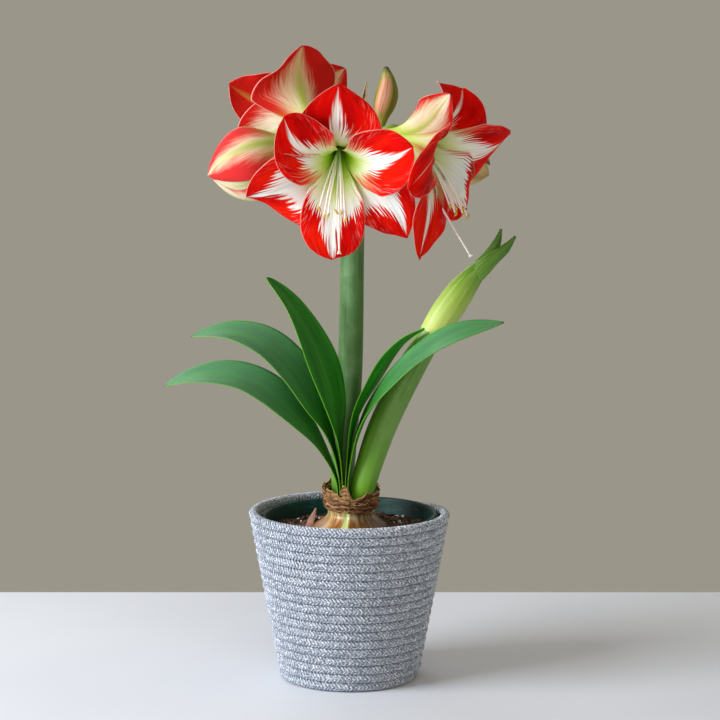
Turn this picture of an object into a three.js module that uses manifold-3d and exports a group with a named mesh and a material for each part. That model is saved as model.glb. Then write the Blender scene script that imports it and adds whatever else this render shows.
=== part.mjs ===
// An amaryllis in bloom: a coiled rope cover pot, a nursery pot filled with potting mix, and the bulb
// with its leaves, one flower stalk in full bloom and a second one still in its spathe.
// Millimetres, +Z up, origin at the centre of the cover pot's underside, the front of the plant at -Y.
import * as THREE from 'three';
import { mergeVertices } from 'three/addons/utils/BufferGeometryUtils.js';
import Module from 'manifold-3d';

const wasm = await Module();
wasm.setup();

// ---------------------------------------------------------------- driving dimensions
const GAP = 0.3; // clearance between pieces that touch
const COVER = { height: 145, bottomRadius: 60.2, topRadius: 87, coils: 19, groove: 1.9, wall: 8, floor: 8, dip: 2.5 };
const GROW = { height: 132.5, bottomRadius: 48, topRadius: 73.5, rim: 1.5, rimHeight: 9, wall: 1.6 };
const GROW_TILT = { rightUp: 1.2, backUp: 1, shift: [2.9, 0.8] }; // degrees, and millimetres off the centre
const SOIL = { depth: 119.6, bump: 1.4, chips: 7 };
const POT_SIDES = 28;
const NECK = { top: 154, offset: 1, stretchBack: 1.11 }; // the bulb's neck is a little deeper than wide
const TUNIC = { bottom: 138, top: 160, thickness: 1.3 };
const TEPAL_THICKNESS = 0.9;
const LEAF_THICKNESS = 1.4;
const UMBEL = [5.6, 2, 452]; // where the flower stalks leave the top of the tall scape

const COLOURS = {
  rope: 0xb4b8c0, plastic: 0x1f4a44, soil: 0x2e2019, bulb: 0xa9713f, tunic: 0x7a4f35, scape: 0x5f9a58,
  paleScape: 0x7fb33c, spathe: 0x9fc13c, leaf: 0x2f7a3a, petal: 0xd4141a, stamen: 0xf0e4c8,
  openingBud: 0xd9a07a, closedBud: 0x8f8f3a, bract: 0x8a6a4a,
};

// ---------------------------------------------------------------- numbers and curves
const DEGREE = Math.PI / 180;
const clamp = (x) => Math.min(1, Math.max(0, x));
const mix = (a, b, t) => a + (b - a) * t;
const smooth = (from, to, x) => { const t = clamp((x - from) / (to - from)); return t * t * (3 - 2 * t); };
const vector = (list) => new THREE.Vector3(...list);

/** Smooth value at t (0 to 1) through equally spaced key values. */
function keyed(keys, t) {
  const x = clamp(t) * (keys.length - 1);
  const i = Math.min(Math.floor(x), keys.length - 2);
  const u = x - i;
  const before = keys[Math.max(i - 1, 0)], a = keys[i], b = keys[i + 1];
  const after = keys[Math.min(i + 2, keys.length - 1)];
  return 0.5 * (2 * a + (b - before) * u + (2 * before - 5 * a + 4 * b - after) * u * u
    + (3 * a - before - 3 * b + after) * u * u * u);
}

/** A seeded random number from 0 to 1. */
function randomSource(seed) {
  let state = seed;
  return () => { state = (state * 16807) % 2147483647; return state / 2147483647; };
}

/** Half width along a blade: from a narrow base to its widest place, then to the tip. */
function bladeWidth(s, { base, wide, peak, round, blunt }) {
  const rise = smooth(0, peak, s);
  const fall = s > peak ? Math.pow(1 - Math.pow((s - peak) / (1 - peak), round), blunt) : 1;
  return Math.max(0.7, mix(base, wide, rise) * fall);
}

// ---------------------------------------------------------------- solids
function geometryFrom(points, faces) {
  const geometry = new THREE.BufferGeometry();
  geometry.setAttribute('position', new THREE.Float32BufferAttribute(points.flatMap((p) => [p.x, p.y, p.z]), 3));
  geometry.setIndex(faces.flat());
  geometry.computeVertexNormals();
  return geometry;
}

/** A closed body through rings of points. Its ends are capped, or its last ring meets its first. */
function loft(rings, wrapped = false) {
  const sides = rings[0].length;
  const points = rings.flat();
  const faces = [];
  const spans = wrapped ? rings.length : rings.length - 1;
  for (let i = 0; i < spans; i += 1) {
    const next = (i + 1) % rings.length;
    for (let j = 0; j < sides; j += 1) {
      const k = (j + 1) % sides;
      const a = i * sides + j, b = i * sides + k, c = next * sides + k, d = next * sides + j;
      faces.push([a, b, c], [a, c, d]);
    }
  }
  if (!wrapped) {
    const centre = (ring) => ring.reduce((sum, p) => sum.add(p), new THREE.Vector3()).divideScalar(sides);
    const first = points.push(centre(rings[0])) - 1;
    const last = points.push(centre(rings[rings.length - 1])) - 1;
    const top = (rings.length - 1) * sides;
    for (let j = 0; j < sides; j += 1) {
      const k = (j + 1) % sides;
      faces.push([first, k, j], [last, top + j, top + k]);
    }
  }
  return geometryFrom(points, faces);
}

/** A round or flattened stem along a smooth path, its radius and flatness given by key values. */
function stem(path, radii, { sides = 10, steps = 12, flat = 1, grow = 0 } = {}) {
  const curve = new THREE.CatmullRomCurve3(path.map(vector), false, 'centripetal');
  const rings = [];
  let across = new THREE.Vector3(0, 1, 0);
  for (let i = 0; i <= steps; i += 1) {
    const s = i / steps;
    const along = curve.getTangentAt(s);
    const centre = curve.getPointAt(s).addScaledVector(along, i === 0 ? -grow : 0);
    across = across.clone().addScaledVector(along, -across.dot(along)).normalize();
    const side = new THREE.Vector3().crossVectors(along, across);
    const radius = keyed(radii, s) + grow;
    rings.push(Array.from({ length: sides }, (_, j) => {
      const turn = (2 * Math.PI * j) / sides;
      return centre.clone().addScaledVector(across, radius * flat * Math.cos(turn))
        .addScaledVector(side, radius * Math.sin(turn));
    }));
  }
  return loft(rings);
}

/** A thin sheet over a grid of points, split into like triangles on both faces. */
function sheet(grid, thickness) {
  const rows = grid.length, columns = grid[0].length;
  const at = (i, j) => grid[Math.min(Math.max(i, 0), rows - 1)][Math.min(Math.max(j, 0), columns - 1)];
  const upper = [], lower = [], faces = [];
  for (let i = 0; i < rows; i += 1) {
    for (let j = 0; j < columns; j += 1) {
      const along = at(i + 1, j).clone().sub(at(i - 1, j));
      const across = at(i, j + 1).clone().sub(at(i, j - 1));
      const normal = along.cross(across).normalize();
      upper.push(grid[i][j].clone().addScaledVector(normal, thickness / 2));
      lower.push(grid[i][j].clone().addScaledVector(normal, -thickness / 2));
    }
  }
  const count = rows * columns;
  const id = (i, j) => i * columns + j;
  for (let i = 0; i < rows - 1; i += 1) {
    for (let j = 0; j < columns - 1; j += 1) {
      const a = id(i, j), b = id(i + 1, j), c = id(i + 1, j + 1), d = id(i, j + 1);
      faces.push([a, b, c], [a, c, d], [count + a, count + c, count + b], [count + a, count + d, count + c]);
    }
  }
  const rim = [];
  for (let i = 0; i < rows; i += 1) rim.push(id(i, 0));
  for (let j = 1; j < columns; j += 1) rim.push(id(rows - 1, j));
  for (let i = rows - 2; i >= 0; i -= 1) rim.push(id(i, columns - 1));
  for (let j = columns - 2; j > 0; j -= 1) rim.push(id(0, j));
  rim.forEach((p, i) => {
    const q = rim[(i + 1) % rim.length];
    faces.push([p, count + q, q], [p, count + p, count + q]);
  });
  return geometryFrom([...upper, ...lower], faces);
}

function solidOf(geometry) {
  const plain = geometry.clone();
  plain.deleteAttribute('normal');
  plain.deleteAttribute('uv');
  const merged = mergeVertices(plain, 1e-4);
  return new wasm.Manifold(new wasm.Mesh({
    numProp: 3,
    vertProperties: new Float32Array(merged.attributes.position.array),
    triVerts: new Uint32Array(merged.index.array),
  }));
}

function geometryOf(solid) {
  const mesh = solid.getMesh();
  const geometry = new THREE.BufferGeometry();
  geometry.setAttribute('position', new THREE.BufferAttribute(new Float32Array(mesh.vertProperties), 3));
  geometry.setIndex(new THREE.BufferAttribute(new Uint32Array(mesh.triVerts), 1));
  geometry.computeVertexNormals();
  return geometry;
}

/** One body from bodies that meet. Pockets sealed between crossing blades are filled. */
function join(...geometries) {
  const shells = geometries.map(solidOf).reduce((a, b) => a.add(b)).decompose();
  return geometryOf(shells.reduce((a, b) => (b.volume() > a.volume() ? b : a)));
}

const cut = (geometry, ...tools) => geometryOf(tools.map(solidOf).reduce((a, b) => a.subtract(b), solidOf(geometry)));

function lathe(profile, segments) {
  return new THREE.LatheGeometry(profile.map(([r, z]) => new THREE.Vector2(r, z)), segments)
    .rotateX(Math.PI / 2);
}

const group = new THREE.Group();

function addPiece(name, geometry, colour, roughness = 0.6) {
  const material = new THREE.MeshStandardMaterial({ color: colour, roughness, metalness: 0 });
  const mesh = new THREE.Mesh(geometry, material);
  mesh.name = name;
  group.add(mesh);
}

// ---------------------------------------------------------------- pots and potting mix
/** The rope is coiled up from the flat base, each coil a ridge on the outside; the rim dips at the back right. */
function coverPot() {
  const { height, bottomRadius, topRadius, coils, groove, wall, floor } = COVER;
  const pitch = height / coils;
  const outer = (z) => mix(bottomRadius, topRadius, z / height);
  const profile = [[0, 0], [bottomRadius - 5, 0], [bottomRadius - 1, 2]];
  for (let i = 0; i < coils; i += 1) {
    const z = i * pitch;
    if (i > 0) profile.push([outer(z) - groove, z]);
    profile.push([outer(z + 0.5 * pitch), z + 0.5 * pitch]);
  }
  profile.push([topRadius - wall / 2, height], [topRadius - wall + 0.6, height - 2.4]);
  profile.push([outer(floor) - wall, floor + 2], [outer(floor) - wall - 3, floor], [0, floor]);
  const geometry = lathe(profile, 24);
  const position = geometry.attributes.position;
  for (let i = 0; i < position.count; i += 1) {
    const [x, y, z] = [position.getX(i), position.getY(i), position.getZ(i)];
    const backRight = Math.max(0, (x * 0.6 + y * 0.8) / topRadius);
    position.setZ(i, z - COVER.dip * backRight ** 2 * smooth(height - 25, height, z));
  }
  return geometry;
}

/** The nursery pot leans a little inside the cover pot and touches it on the right. */
const growPose = new THREE.Matrix4().compose(
  new THREE.Vector3(...GROW_TILT.shift, COVER.floor + GAP + GROW.bottomRadius * Math.sin(1.6 * DEGREE)),
  new THREE.Quaternion().setFromEuler(
    new THREE.Euler(GROW_TILT.backUp * DEGREE, -GROW_TILT.rightUp * DEGREE, 0)),
  new THREE.Vector3(1, 1, 1),
);
const growRadius = (z) => mix(GROW.bottomRadius, GROW.topRadius, z / GROW.height);

function growPot() {
  const { height, bottomRadius, topRadius, rim, rimHeight, wall } = GROW;
  return lathe([
    [0, 0], [bottomRadius - 2, 0], [bottomRadius, 2], [growRadius(height - rimHeight), height - rimHeight],
    [growRadius(height - rimHeight) + rim, height - rimHeight + 0.5], [topRadius + rim, height - 1],
    [topRadius + rim - 0.6, height], [topRadius + 0.4 - wall, height], [growRadius(height - 3) - wall, height - 3],
    [growRadius(wall + 1) - wall, wall + 1], [bottomRadius - wall - 1, wall], [0, wall],
  ], POT_SIDES).applyMatrix4(growPose);
}

/** Packed mix with an uneven top and a few bark chips, in the grow pot's own leaning frame. */
function pottingMix(...spaces) {
  const base = GROW.wall + GAP;
  const bump = (r, turn) => SOIL.bump * (Math.sin(3 * turn + 0.23 * r) * Math.cos(0.31 * r - 2 * turn)
    + 0.6 * Math.sin(7 * turn + 0.5 * r)) - 1.5 * (r / 66) ** 4;
  const wallRadius = (z) => growRadius(z) - GROW.wall - GAP;
  const edge = wallRadius(SOIL.depth);
  const ring = (radius, height) => Array.from({ length: POT_SIDES }, (_, j) => {
    const turn = (2 * Math.PI * j) / POT_SIDES;
    const z = height ?? SOIL.depth + bump(radius, turn);
    const reach = radius < edge ? radius : wallRadius(z);
    return new THREE.Vector3(reach * Math.cos(turn), reach * Math.sin(turn), z);
  });
  const rings = [ring(wallRadius(base) - 2, base), ring(wallRadius(base + 2), base + 2)];
  for (const radius of [edge, edge - 9, edge - 19, 32]) rings.push(ring(radius));
  let solid = solidOf(loft(rings));
  const random = randomSource(4711);
  for (let i = 0; i < SOIL.chips; i += 1) {
    const turn = 2 * Math.PI * random();
    const radius = mix(47, 60, random());
    const chip = new THREE.BoxGeometry(5 + 6 * random(), 3 + 3 * random(), 3 + 2 * random());
    chip.rotateX(random()).rotateY(0.8 * random() - 0.4).rotateZ(6 * random());
    chip.translate(radius * Math.cos(turn), radius * Math.sin(turn), SOIL.depth + 0.6);
    solid = solid.add(solidOf(chip));
  }
  return cut(geometryOf(solid).applyMatrix4(growPose), ...spaces);
}

// ---------------------------------------------------------------- bulb and its papery tunic
const BULB_PROFILE = [
  [10, 58], [24, 62], [34, 74], [40, 90], [41.5, 104], [40, 116], [36.5, 125], [31.5, 132],
  [24, 137.5], [20, 142], [20.6, 148], [21.6, NECK.top],
];

/** The bulb's surface: round below and, at the neck, a little deeper than wide and set to the right. */
function bulbRing(radius, z, sides, grow) {
  const neck = smooth(120, 142, z);
  return Array.from({ length: sides }, (_, j) => {
    const turn = (2 * Math.PI * j) / sides;
    const fluted = radius * (1 + 0.012 * Math.sin(5 * turn + 1)) + grow;
    return new THREE.Vector3(
      NECK.offset * neck + fluted * Math.cos(turn),
      fluted * mix(1, NECK.stretchBack, neck) * Math.sin(turn), z);
  });
}

function bulb(grow = 0) {
  return loft(BULB_PROFILE.map(([radius, z]) => bulbRing(radius, z, 18, grow)));
}

function bulbRadius(z) {
  const above = BULB_PROFILE.findIndex(([, height]) => height >= z);
  if (above < 1) return BULB_PROFILE[above < 0 ? BULB_PROFILE.length - 1 : 0][0];
  const [low, high] = [BULB_PROFILE[above - 1], BULB_PROFILE[above]];
  return mix(low[0], high[0], (z - low[1]) / (high[1] - low[1]));
}

/** Dry brown scales round the neck: wrinkled rolls below and a torn edge above. */
function bulbTunic() {
  const stations = 27, levels = 5;
  const rings = [];
  for (let i = 0; i < stations; i += 1) {
    const turn = (-2 * Math.PI * i) / stations;
    const torn = TUNIC.top + 2.6 * Math.sin(3 * turn + 0.4) + 1.8 * Math.sin(8 * turn) + 1.2 * Math.sin(13 * turn);
    const low = TUNIC.bottom + 3.4 + 1.5 * Math.sin(4 * turn + 2);
    const inner = [], outer = [];
    for (let k = 0; k < levels; k += 1) {
      const z = mix(low, torn, k / (levels - 1));
      const flare = 1.6 * smooth(150, 164, z);
      const wrinkle = 0.5 + 0.5 * Math.sin(0.95 * z + 1.6 * Math.sin(2 * turn));
      const clear = bulbRadius(z) * 1.012 + 2 * GAP + flare;
      const point = (radius) => new THREE.Vector3(NECK.offset + radius * Math.cos(turn),
        radius * NECK.stretchBack * Math.sin(turn), z);
      inner.push(point(clear));
      outer.push(point(clear + TUNIC.thickness * (0.6 + 0.9 * wrinkle * (k < levels - 1 ? 1 : 0.2))));
    }
    rings.push([...outer, ...inner.reverse()]);
  }
  return loft(rings, true);
}

/** A cast-off scale of the bulb standing in the mix on the left. */
function looseScale(grow = 0) {
  const width = [3.4, 4.4, 4.6, 4, 2.6, 0.9];
  const grid = width.map((half, i) => {
    const s = i / (width.length - 1);
    const centre = new THREE.Vector3(-36.5 + 6 * s, -21 + 5 * s, 126 + 24 * s - (i ? 0 : grow));
    return [-1, 0, 1].map((v) => centre.clone()
      .add(new THREE.Vector3(0.86, -0.3, 0.1).multiplyScalar(v * (half + grow)))
      .add(new THREE.Vector3(0.2, -0.9, 0).multiplyScalar(1 - v * v)));
  });
  return sheet(grid, 0.9 + 2 * grow);
}

// ---------------------------------------------------------------- leaves
/**
 * A strap leaf along its midrib. roll turns the blade about the midrib from standing edge-on to the front;
 * the blade is a shallow channel whose edges rise on its upper side.
 */
const LEAVES = {
  leaf_left_low: {
    path: [[-9.6, -10, 148], [-10.4, -10.5, 172], [-19.5, -14, 194], [-40, -20, 223.5], [-65, -24, 249],
      [-92, -25, 263], [-124, -24, 265.5], [-157, -22, 256]],
    roll: [0, -4, -12, -24, -32, -27, -21, -15], base: 8.5, wide: 21, side: -1,
  },
  leaf_left_mid: {
    path: [[-7.7, -10, 148], [-8.2, -10.5, 174], [-14, -15, 201], [-28.5, -15, 234], [-46, -15, 266],
      [-70, -14, 290], [-100, -10, 300.5], [-135, -6, 296]],
    roll: [0, -3, -8, -26, -34, -30, -23, -15], base: 8.5, wide: 22, side: -1,
  },
  leaf_left_upper: {
    path: [[-5.8, -10, 148], [-6, -11, 174], [-9, -17, 205], [-12.5, -22, 233], [-20.5, -24, 264],
      [-32.5, -24, 295], [-48.5, -22, 324], [-70, -18, 348]],
    roll: [0, -1, -8, -26, -34, -31, -25, -18], base: 8.5, wide: 21, side: -1,
  },
  leaf_right_thin: {
    path: [[-3.9, -10, 148], [-3.2, -11.5, 174], [0.6, -15, 204], [7, -16, 230], [19, -15, 254],
      [32, -14.5, 276], [46, -16, 293], [63.5, -18, 304.5]],
    roll: [0, 0, -1, -12, -25, -29, -28, -26], base: 8.5, wide: 12, side: 1,
  },
  leaf_right_long: {
    path: [[-2, -10, 148], [-0.9, -11, 176], [5.4, -17, 206], [15, -25.5, 232], [31, -34, 256],
      [54, -37, 280], [88, -34, 301], [130, -28, 311]],
    roll: [0, 0, 0, 4, 13, 20, 25, 22], base: 8.5, wide: 18, side: 1,
  },
};

function leafPoint(curve, leaf, s, v, halfWidth) {
  const centre = curve.getPointAt(s);
  const along = curve.getTangentAt(s);
  const back = new THREE.Vector3(0, 1, 0);
  back.addScaledVector(along, -back.dot(along)).normalize();
  const across = back.applyAxisAngle(along, keyed(leaf.roll, s) * DEGREE);
  const upper = new THREE.Vector3().crossVectors(along, across).multiplyScalar(leaf.side);
  const channel = 0.16 * halfWidth * v * v * smooth(0.1, 0.35, s);
  return centre.addScaledVector(across, v * halfWidth).addScaledVector(upper, channel);
}

function leafBlade(leaf, grow = 0, rows = 12) {
  const curve = new THREE.CatmullRomCurve3(leaf.path.map(vector), false, 'centripetal');
  const shape = { base: leaf.base, wide: leaf.wide, peak: 0.55, round: 2.2, blunt: 0.75 };
  const grid = [];
  for (let i = 0; i <= rows; i += 1) {
    const s = i / rows;
    const halfWidth = bladeWidth(s, shape) + grow;
    const row = [-1, -0.5, 0, 0.5, 1].map((v) => leafPoint(curve, leaf, s, v, halfWidth));
    if (i === 0) row.forEach((p) => { p.z -= grow; });
    grid.push(row);
  }
  return sheet(grid, LEAF_THICKNESS + 2 * grow);
}

// ---------------------------------------------------------------- flower stalks
const TALL_SCAPE = {
  path: [[-6.5, 11, 147], [-6.4, 10.5, 160], [-5.5, 9.6, 185], [-3.2, 8.6, 215], [0, 7.6, 257],
    [1.7, 6.4, 310], [2.6, 5, 364], [3.9, 3.4, 411], UMBEL],
  radii: [8, 10.3, 10.7, 10.8, 10.6, 10.3, 10, 9.8, 9.8, 10.4],
};
const LEANING_SCAPE = {
  path: [[9.4, -7, 147], [10.1, -7, 158], [13, -6.8, 172], [18.2, -6.2, 190], [26, -5.4, 213],
    [37, -4.4, 238], [50, -3.4, 264], [64, -2.4, 289], [73.6, -2, 303]],
  radii: [8, 10.6, 11.4, 12, 12.2, 12.2, 12, 11.4, 10.6],
};

const scapeSolid = (scape, grow = 0) => stem(scape.path, scape.radii, { sides: 11, steps: 12, grow });

/** The papery spathe of the second stalk, still closed, with two green tips. */
function spatheBud() {
  const body = stem([[73.9, -2, 303.6], [79, -2, 311.5], [88, -1, 325], [98, 0, 339], [109, 1, 352], [118, 2, 362]],
    [10, 11.4, 12.4, 12.2, 9.8, 6], { sides: 12, steps: 9, flat: 0.86 });
  const leftTip = stem([[108, 2, 350], [118, 3, 363], [125, 4, 375], [128.8, 4.5, 387]],
    [7.5, 5.6, 3.4, 0.8], { sides: 8, steps: 6, flat: 0.7 });
  const rightTip = stem([[108, -1, 348], [120, -2, 360], [131, -3, 370], [140.5, -3.5, 381.5]],
    [7.5, 5.6, 3.6, 0.8], { sides: 8, steps: 6, flat: 0.7 });
  return join(body, leftTip, rightTip);
}

// ---------------------------------------------------------------- blooms
/** Outer tepals are broad and pointed, inner ones narrower and rounder, standing inside the outer ring. */
const TEPAL_SHAPES = {
  outer: { base: 6, wide: 32, peak: 0.56, round: 1.7, blunt: 0.8, start: [4.6, 1.5] },
  inner: { base: 5, wide: 26, peak: 0.58, round: 2.3, blunt: 0.66, start: [3.3, 5] },
};
const THIRD_OF_RING = (0.98 * Math.PI) / 3; // three tepals close a ring as far as their edges meet

// Key values from base to tip. bends: lean of the midrib from the flower's axis, in degrees.
// wrap: how far the blade curls round the axis. curl: further curl of the blade, in degrees.
const OPEN = { bends: [6, 12, 26, 46, 64, 80, 92], wrap: [1, 1, 1, 0.8, 0.45, 0.15, 0], curl: [0, 0, 0, 0, 2, -2, -8] };
const UPRIGHT_BENDS = [6, 24, 42, 48, 46, 40, 30]; // a tepal that stays upright
const FLATTER = [1, 1, 0.9, 0.6, 0.3, 0.1, 0];
const OPENED = [1, 0.9, 0.7, 0.5, 0.3, 0.1, 0];
const ROUNDED = { round: 2.3, blunt: 0.66 };
const POINTED = { round: 1.7, blunt: 0.8 };
const LEFT_BUD = { bends: [14, 34, 36, 18, 2, -14, -28], wrap: [1, 1, 1, 1, 1, 1, 0.9], curl: [0, 0], wave: 0.4 };
const REAR_BUD = { bends: [12, 28, 30, 16, 2, -12, -24], wrap: [1, 1, 1, 1, 1, 1, 0.9], curl: [0, 0], wave: 0.4 };

/** Directions of a flower: out of its mouth, up across the mouth, and to the side. */
function flowerFrame(base, axis) {
  const out = vector(axis).normalize();
  const up = new THREE.Vector3(0, 0, 1);
  up.addScaledVector(out, -up.dot(out)).normalize();
  const side = new THREE.Vector3().crossVectors(out, up);
  return { base: vector(base), out, up, side };
}

/** The midrib as distances from the axis and along it, with its lean, at equal steps. */
function midrib(tepal, steps) {
  const stations = [];
  const fine = 6;
  let [radius, along] = TEPAL_SHAPES[tepal.kind].start;
  for (let i = 0; i <= steps * fine; i += 1) {
    const s = i / (steps * fine);
    const lean = (keyed(tepal.bends, s) + tepal.spread * smooth(0.2, 0.9, s)) * DEGREE;
    if (i % fine === 0) stations[i / fine] = { radius, along, lean };
    radius += (Math.sin(lean) * tepal.length) / (steps * fine);
    along += (Math.cos(lean) * tepal.length) / (steps * fine);
  }
  return stations;
}

function tepalSheet(frame, tepal, rows, columns) {
  const stations = midrib(tepal, rows);
  const usual = TEPAL_SHAPES[tepal.kind];
  const shape = { ...usual, ...tepal, wide: usual.wide * tepal.width };
  const grid = stations.map(({ radius, along, lean }, i) => {
    const s = i / rows;
    const turn = (tepal.azimuth + tepal.sway * s * s) * DEGREE;
    const outward = frame.up.clone().multiplyScalar(Math.cos(turn)).addScaledVector(frame.side, Math.sin(turn));
    const centre = frame.base.clone().addScaledVector(frame.out, along).addScaledVector(outward, radius);
    const rib = frame.out.clone().multiplyScalar(Math.cos(lean)).addScaledVector(outward, Math.sin(lean));
    const inward = frame.out.clone().multiplyScalar(Math.sin(lean)).addScaledVector(outward, -Math.cos(lean));
    const across = new THREE.Vector3().crossVectors(rib, inward);
    const roll = tepal.twist * smooth(0.25, 1, s) * DEGREE;
    inward.applyAxisAngle(rib, roll);
    across.applyAxisAngle(rib, roll);
    const halfWidth = Math.min(bladeWidth(s, shape), THIRD_OF_RING * tepal.reach * radius);
    const angle = (keyed(tepal.wrap, s) * halfWidth) / radius + keyed(tepal.curl, s) * DEGREE;
    const curl = Math.max(Math.abs(angle), 0.5 * DEGREE) * Math.sign(angle || 1);
    return Array.from({ length: columns + 1 }, (_, j) => {
      const v = (2 * j) / columns - 1;
      const ruffle = tepal.wave * v * v * smooth(0.3, 0.6, s) * Math.sin(2 * Math.PI * (1.8 * s + 0.25 * v) + tepal.phase);
      return centre.clone()
        .addScaledVector(across, (halfWidth * Math.sin(v * curl)) / curl)
        .addScaledVector(inward, (halfWidth * (1 - Math.cos(v * curl))) / curl + ruffle);
    });
  });
  return sheet(grid, TEPAL_THICKNESS);
}

/** Fill in the usual shape of a tepal where a flower states nothing else. */
function tepalsOf(flower) {
  return flower.tepals.map(([kind, azimuth, length, spread, extra = {}], i) => ({
    kind, azimuth, length, spread, width: 1, reach: 1, sway: 0, twist: 0, wave: 2, phase: 1.7 * i, ...flower.form, ...extra,
  }));
}

/** Lathe profile standing on a flower's axis. */
const onAxis = (frame, profile, sides) => lathe(profile, sides)
  .applyMatrix4(new THREE.Matrix4().makeBasis(frame.up, frame.side, frame.out).setPosition(frame.base));

function perianth(flower, rows = 7, columns = 4) {
  const frame = flowerFrame(flower.base, flower.axis);
  const foot = onAxis(frame, [[0, GAP], [4.6, GAP], [5.4, 6], [0, 6]], 9);
  return join(foot, ...tepalsOf(flower).map((tepal) => tepalSheet(frame, tepal, rows, columns)));
}

/** Six filaments with anthers and the longer style droop from a small disc inside the tube. */
function stamensAndStyle({ base, axis, stamens: { reach, droop, sides, style } }) {
  const frame = flowerFrame(base, axis);
  const place = (along, down, side) => frame.base.clone().addScaledVector(frame.out, along)
    .addScaledVector(frame.up, -down).addScaledVector(frame.side, side);
  const thread = (length, down, side, sink, radius) => {
    const points = [place(8.2, sink, 0.08 * side)];
    for (const [along, fall, spread] of [[0.3, 0.03, 0.12], [0.52, 0.13, 0.32], [0.7, 0.33, 0.55], [0.86, 0.64, 0.8],
      [1, 1, 1]]) points.push(place(along * length, fall * down + sink, spread * side));
    return stem(points.map((p) => p.toArray()), [radius, radius, 0.85 * radius], { sides: 3, steps: 5 });
  };
  const pieces = [onAxis(frame, [[0, 6 + GAP], [2.3, 6 + GAP], [2, 9], [0, 9]], 6), thread(...style, 0, 0, 0.8)];
  sides.forEach((side, i) => {
    const share = 0.9 + 0.05 * (i % 3);
    const sink = i % 2 ? 1.5 : -1.5;
    pieces.push(thread(share * reach, share * droop, side, sink, 0.7));
    const tip = place(share * reach, share * droop + sink, side);
    const lean = frame.up.clone().multiplyScalar(3.6).addScaledVector(frame.side, 2.4 * Math.sin(2 + 1.9 * i));
    pieces.push(stem([tip.clone().sub(lean).toArray(), tip.toArray(), tip.clone().add(lean).toArray()],
      [0.8, 1.6, 0.8], { sides: 3, steps: 2 }));
  });
  return join(...pieces);
}

const FLOWERS = {
  front: {
    base: [-8, -26, 461], axis: [0, -0.945, -0.33], form: OPEN,
    tepals: [
      ['outer', 6, 108, 12, { width: 1.28, twist: 6, sway: -6 }],
      ['outer', 108, 113, 20, { width: 1.3, twist: -26 }],
      ['outer', 255, 116, 16, { twist: 8, sway: -32 }],
      ['inner', 65, 108, -7, { width: 1.08, twist: 12, sway: -26 }],
      ['inner', 169, 112, 11, { width: 1.04, twist: -2, sway: 7 }],
      ['inner', 288, 110, -16, { width: 1.2, twist: -5, sway: 10 }],
    ],
    stamens: { reach: 80, droop: 32, sides: [16, 9, 12, 2, -2, -5], style: [85, 60] },
  },
  back: {
    base: [-24.5, 12, 464.5], axis: [-0.36, 0.866, 0.343], form: OPEN,
    tepals: [
      ['outer', -14, 90, 8, { width: 1.34, reach: 1.6, wrap: FLATTER, twist: 18, sway: 9 }],
      ['outer', -130, 94, -9, { ...ROUNDED, reach: 1.4, wrap: FLATTER, twist: 6, sway: -4 }],
      ['outer', 106, 92, 2, { sway: 6 }],
      ['inner', -84, 100, 0, { ...POINTED, width: 1.16, twist: -10, sway: 14 }],
      ['inner', 50, 88, -12, { ...POINTED, width: 1.2, twist: -10 }],
      ['inner', 168, 90, 2],
    ],
    stamens: { reach: 78, droop: 26, sides: [15, 9, 4, -4, -9, -15], style: [92, 40] },
  },
  right: {
    base: [22, -10, 472], axis: [0.875, -0.428, -0.227], form: OPEN,
    tepals: [
      ['outer', 30, 97, 4, { width: 1.3, peak: 0.45, reach: 1.6, twist: -40, sway: -10, bends: UPRIGHT_BENDS, wrap: OPENED }],
      ['inner', -51, 120, 31, { width: 1.05, twist: -26 }],
      ['outer', -105, 128, -6, { width: 1.13, twist: 36, sway: 26 }],
      ['inner', 80, 132, 9, { width: 1.1, sway: 26 }],
      ['outer', 134, 134, 20, { width: 1.04, twist: 4, sway: 42 }],
      ['inner', -150, 114, 6, { width: 1.2, sway: 18 }],
    ],
    stamens: { reach: 91, droop: 49, sides: [7, 3, -2, -6, -10, -13], style: [105, 79] },
  },
};

const BUDS = {
  left: {
    base: [-34, -6, 461.5], axis: [-0.92, -0.12, -0.38], form: LEFT_BUD,
    tepals: [
      ['outer', 30, 92, 2, { width: 0.86 }], ['outer', 150, 92, 4, { width: 0.86 }],
      ['outer', 265, 92, 4, { width: 0.86 }], ['inner', 90, 84, -4, { width: 0.86 }],
      ['inner', 205, 84, -2, { width: 0.86 }], ['inner', 325, 84, -4, { width: 0.86 }],
    ],
  },
  rear: {
    base: [48, 22, 464], axis: [0.86, 0.4, -0.3], form: REAR_BUD,
    tepals: [
      ['outer', 0, 86, 2, { width: 0.78 }], ['outer', 120, 86, 2, { width: 0.78 }],
      ['outer', 240, 86, 2, { width: 0.78 }], ['inner', 60, 80, -4, { width: 0.78 }],
      ['inner', 180, 80, -4, { width: 0.78 }], ['inner', 300, 80, -4, { width: 0.78 }],
    ],
  },
};

const CLOSED_BUD = [[26.5, 21, 472.5], [28.5, 21.5, 483], [31.5, 22, 498], [32.5, 22, 512], [31, 21.5, 524]];

/** A closed bud: six folded tepals show as soft ribs, and it bends a little to one side. */
function closedBud() {
  const curve = new THREE.CatmullRomCurve3(CLOSED_BUD.map(vector), false, 'centripetal');
  const radii = [3.6, 5.4, 8.6, 10, 9.4, 7, 3.6, 1];
  const rings = [];
  const steps = 9;
  for (let i = 0; i <= steps; i += 1) {
    const s = i / steps;
    const centre = curve.getPointAt(s);
    rings.push(Array.from({ length: 12 }, (_, j) => {
      const turn = (2 * Math.PI * j) / 12;
      const radius = keyed(radii, s) * (j % 2 ? 0.93 : 1.04);
      return new THREE.Vector3(centre.x + radius * Math.cos(turn + 0.5 * s), centre.y + radius * Math.sin(turn + 0.5 * s), centre.z);
    }));
  }
  return loft(rings);
}

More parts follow.
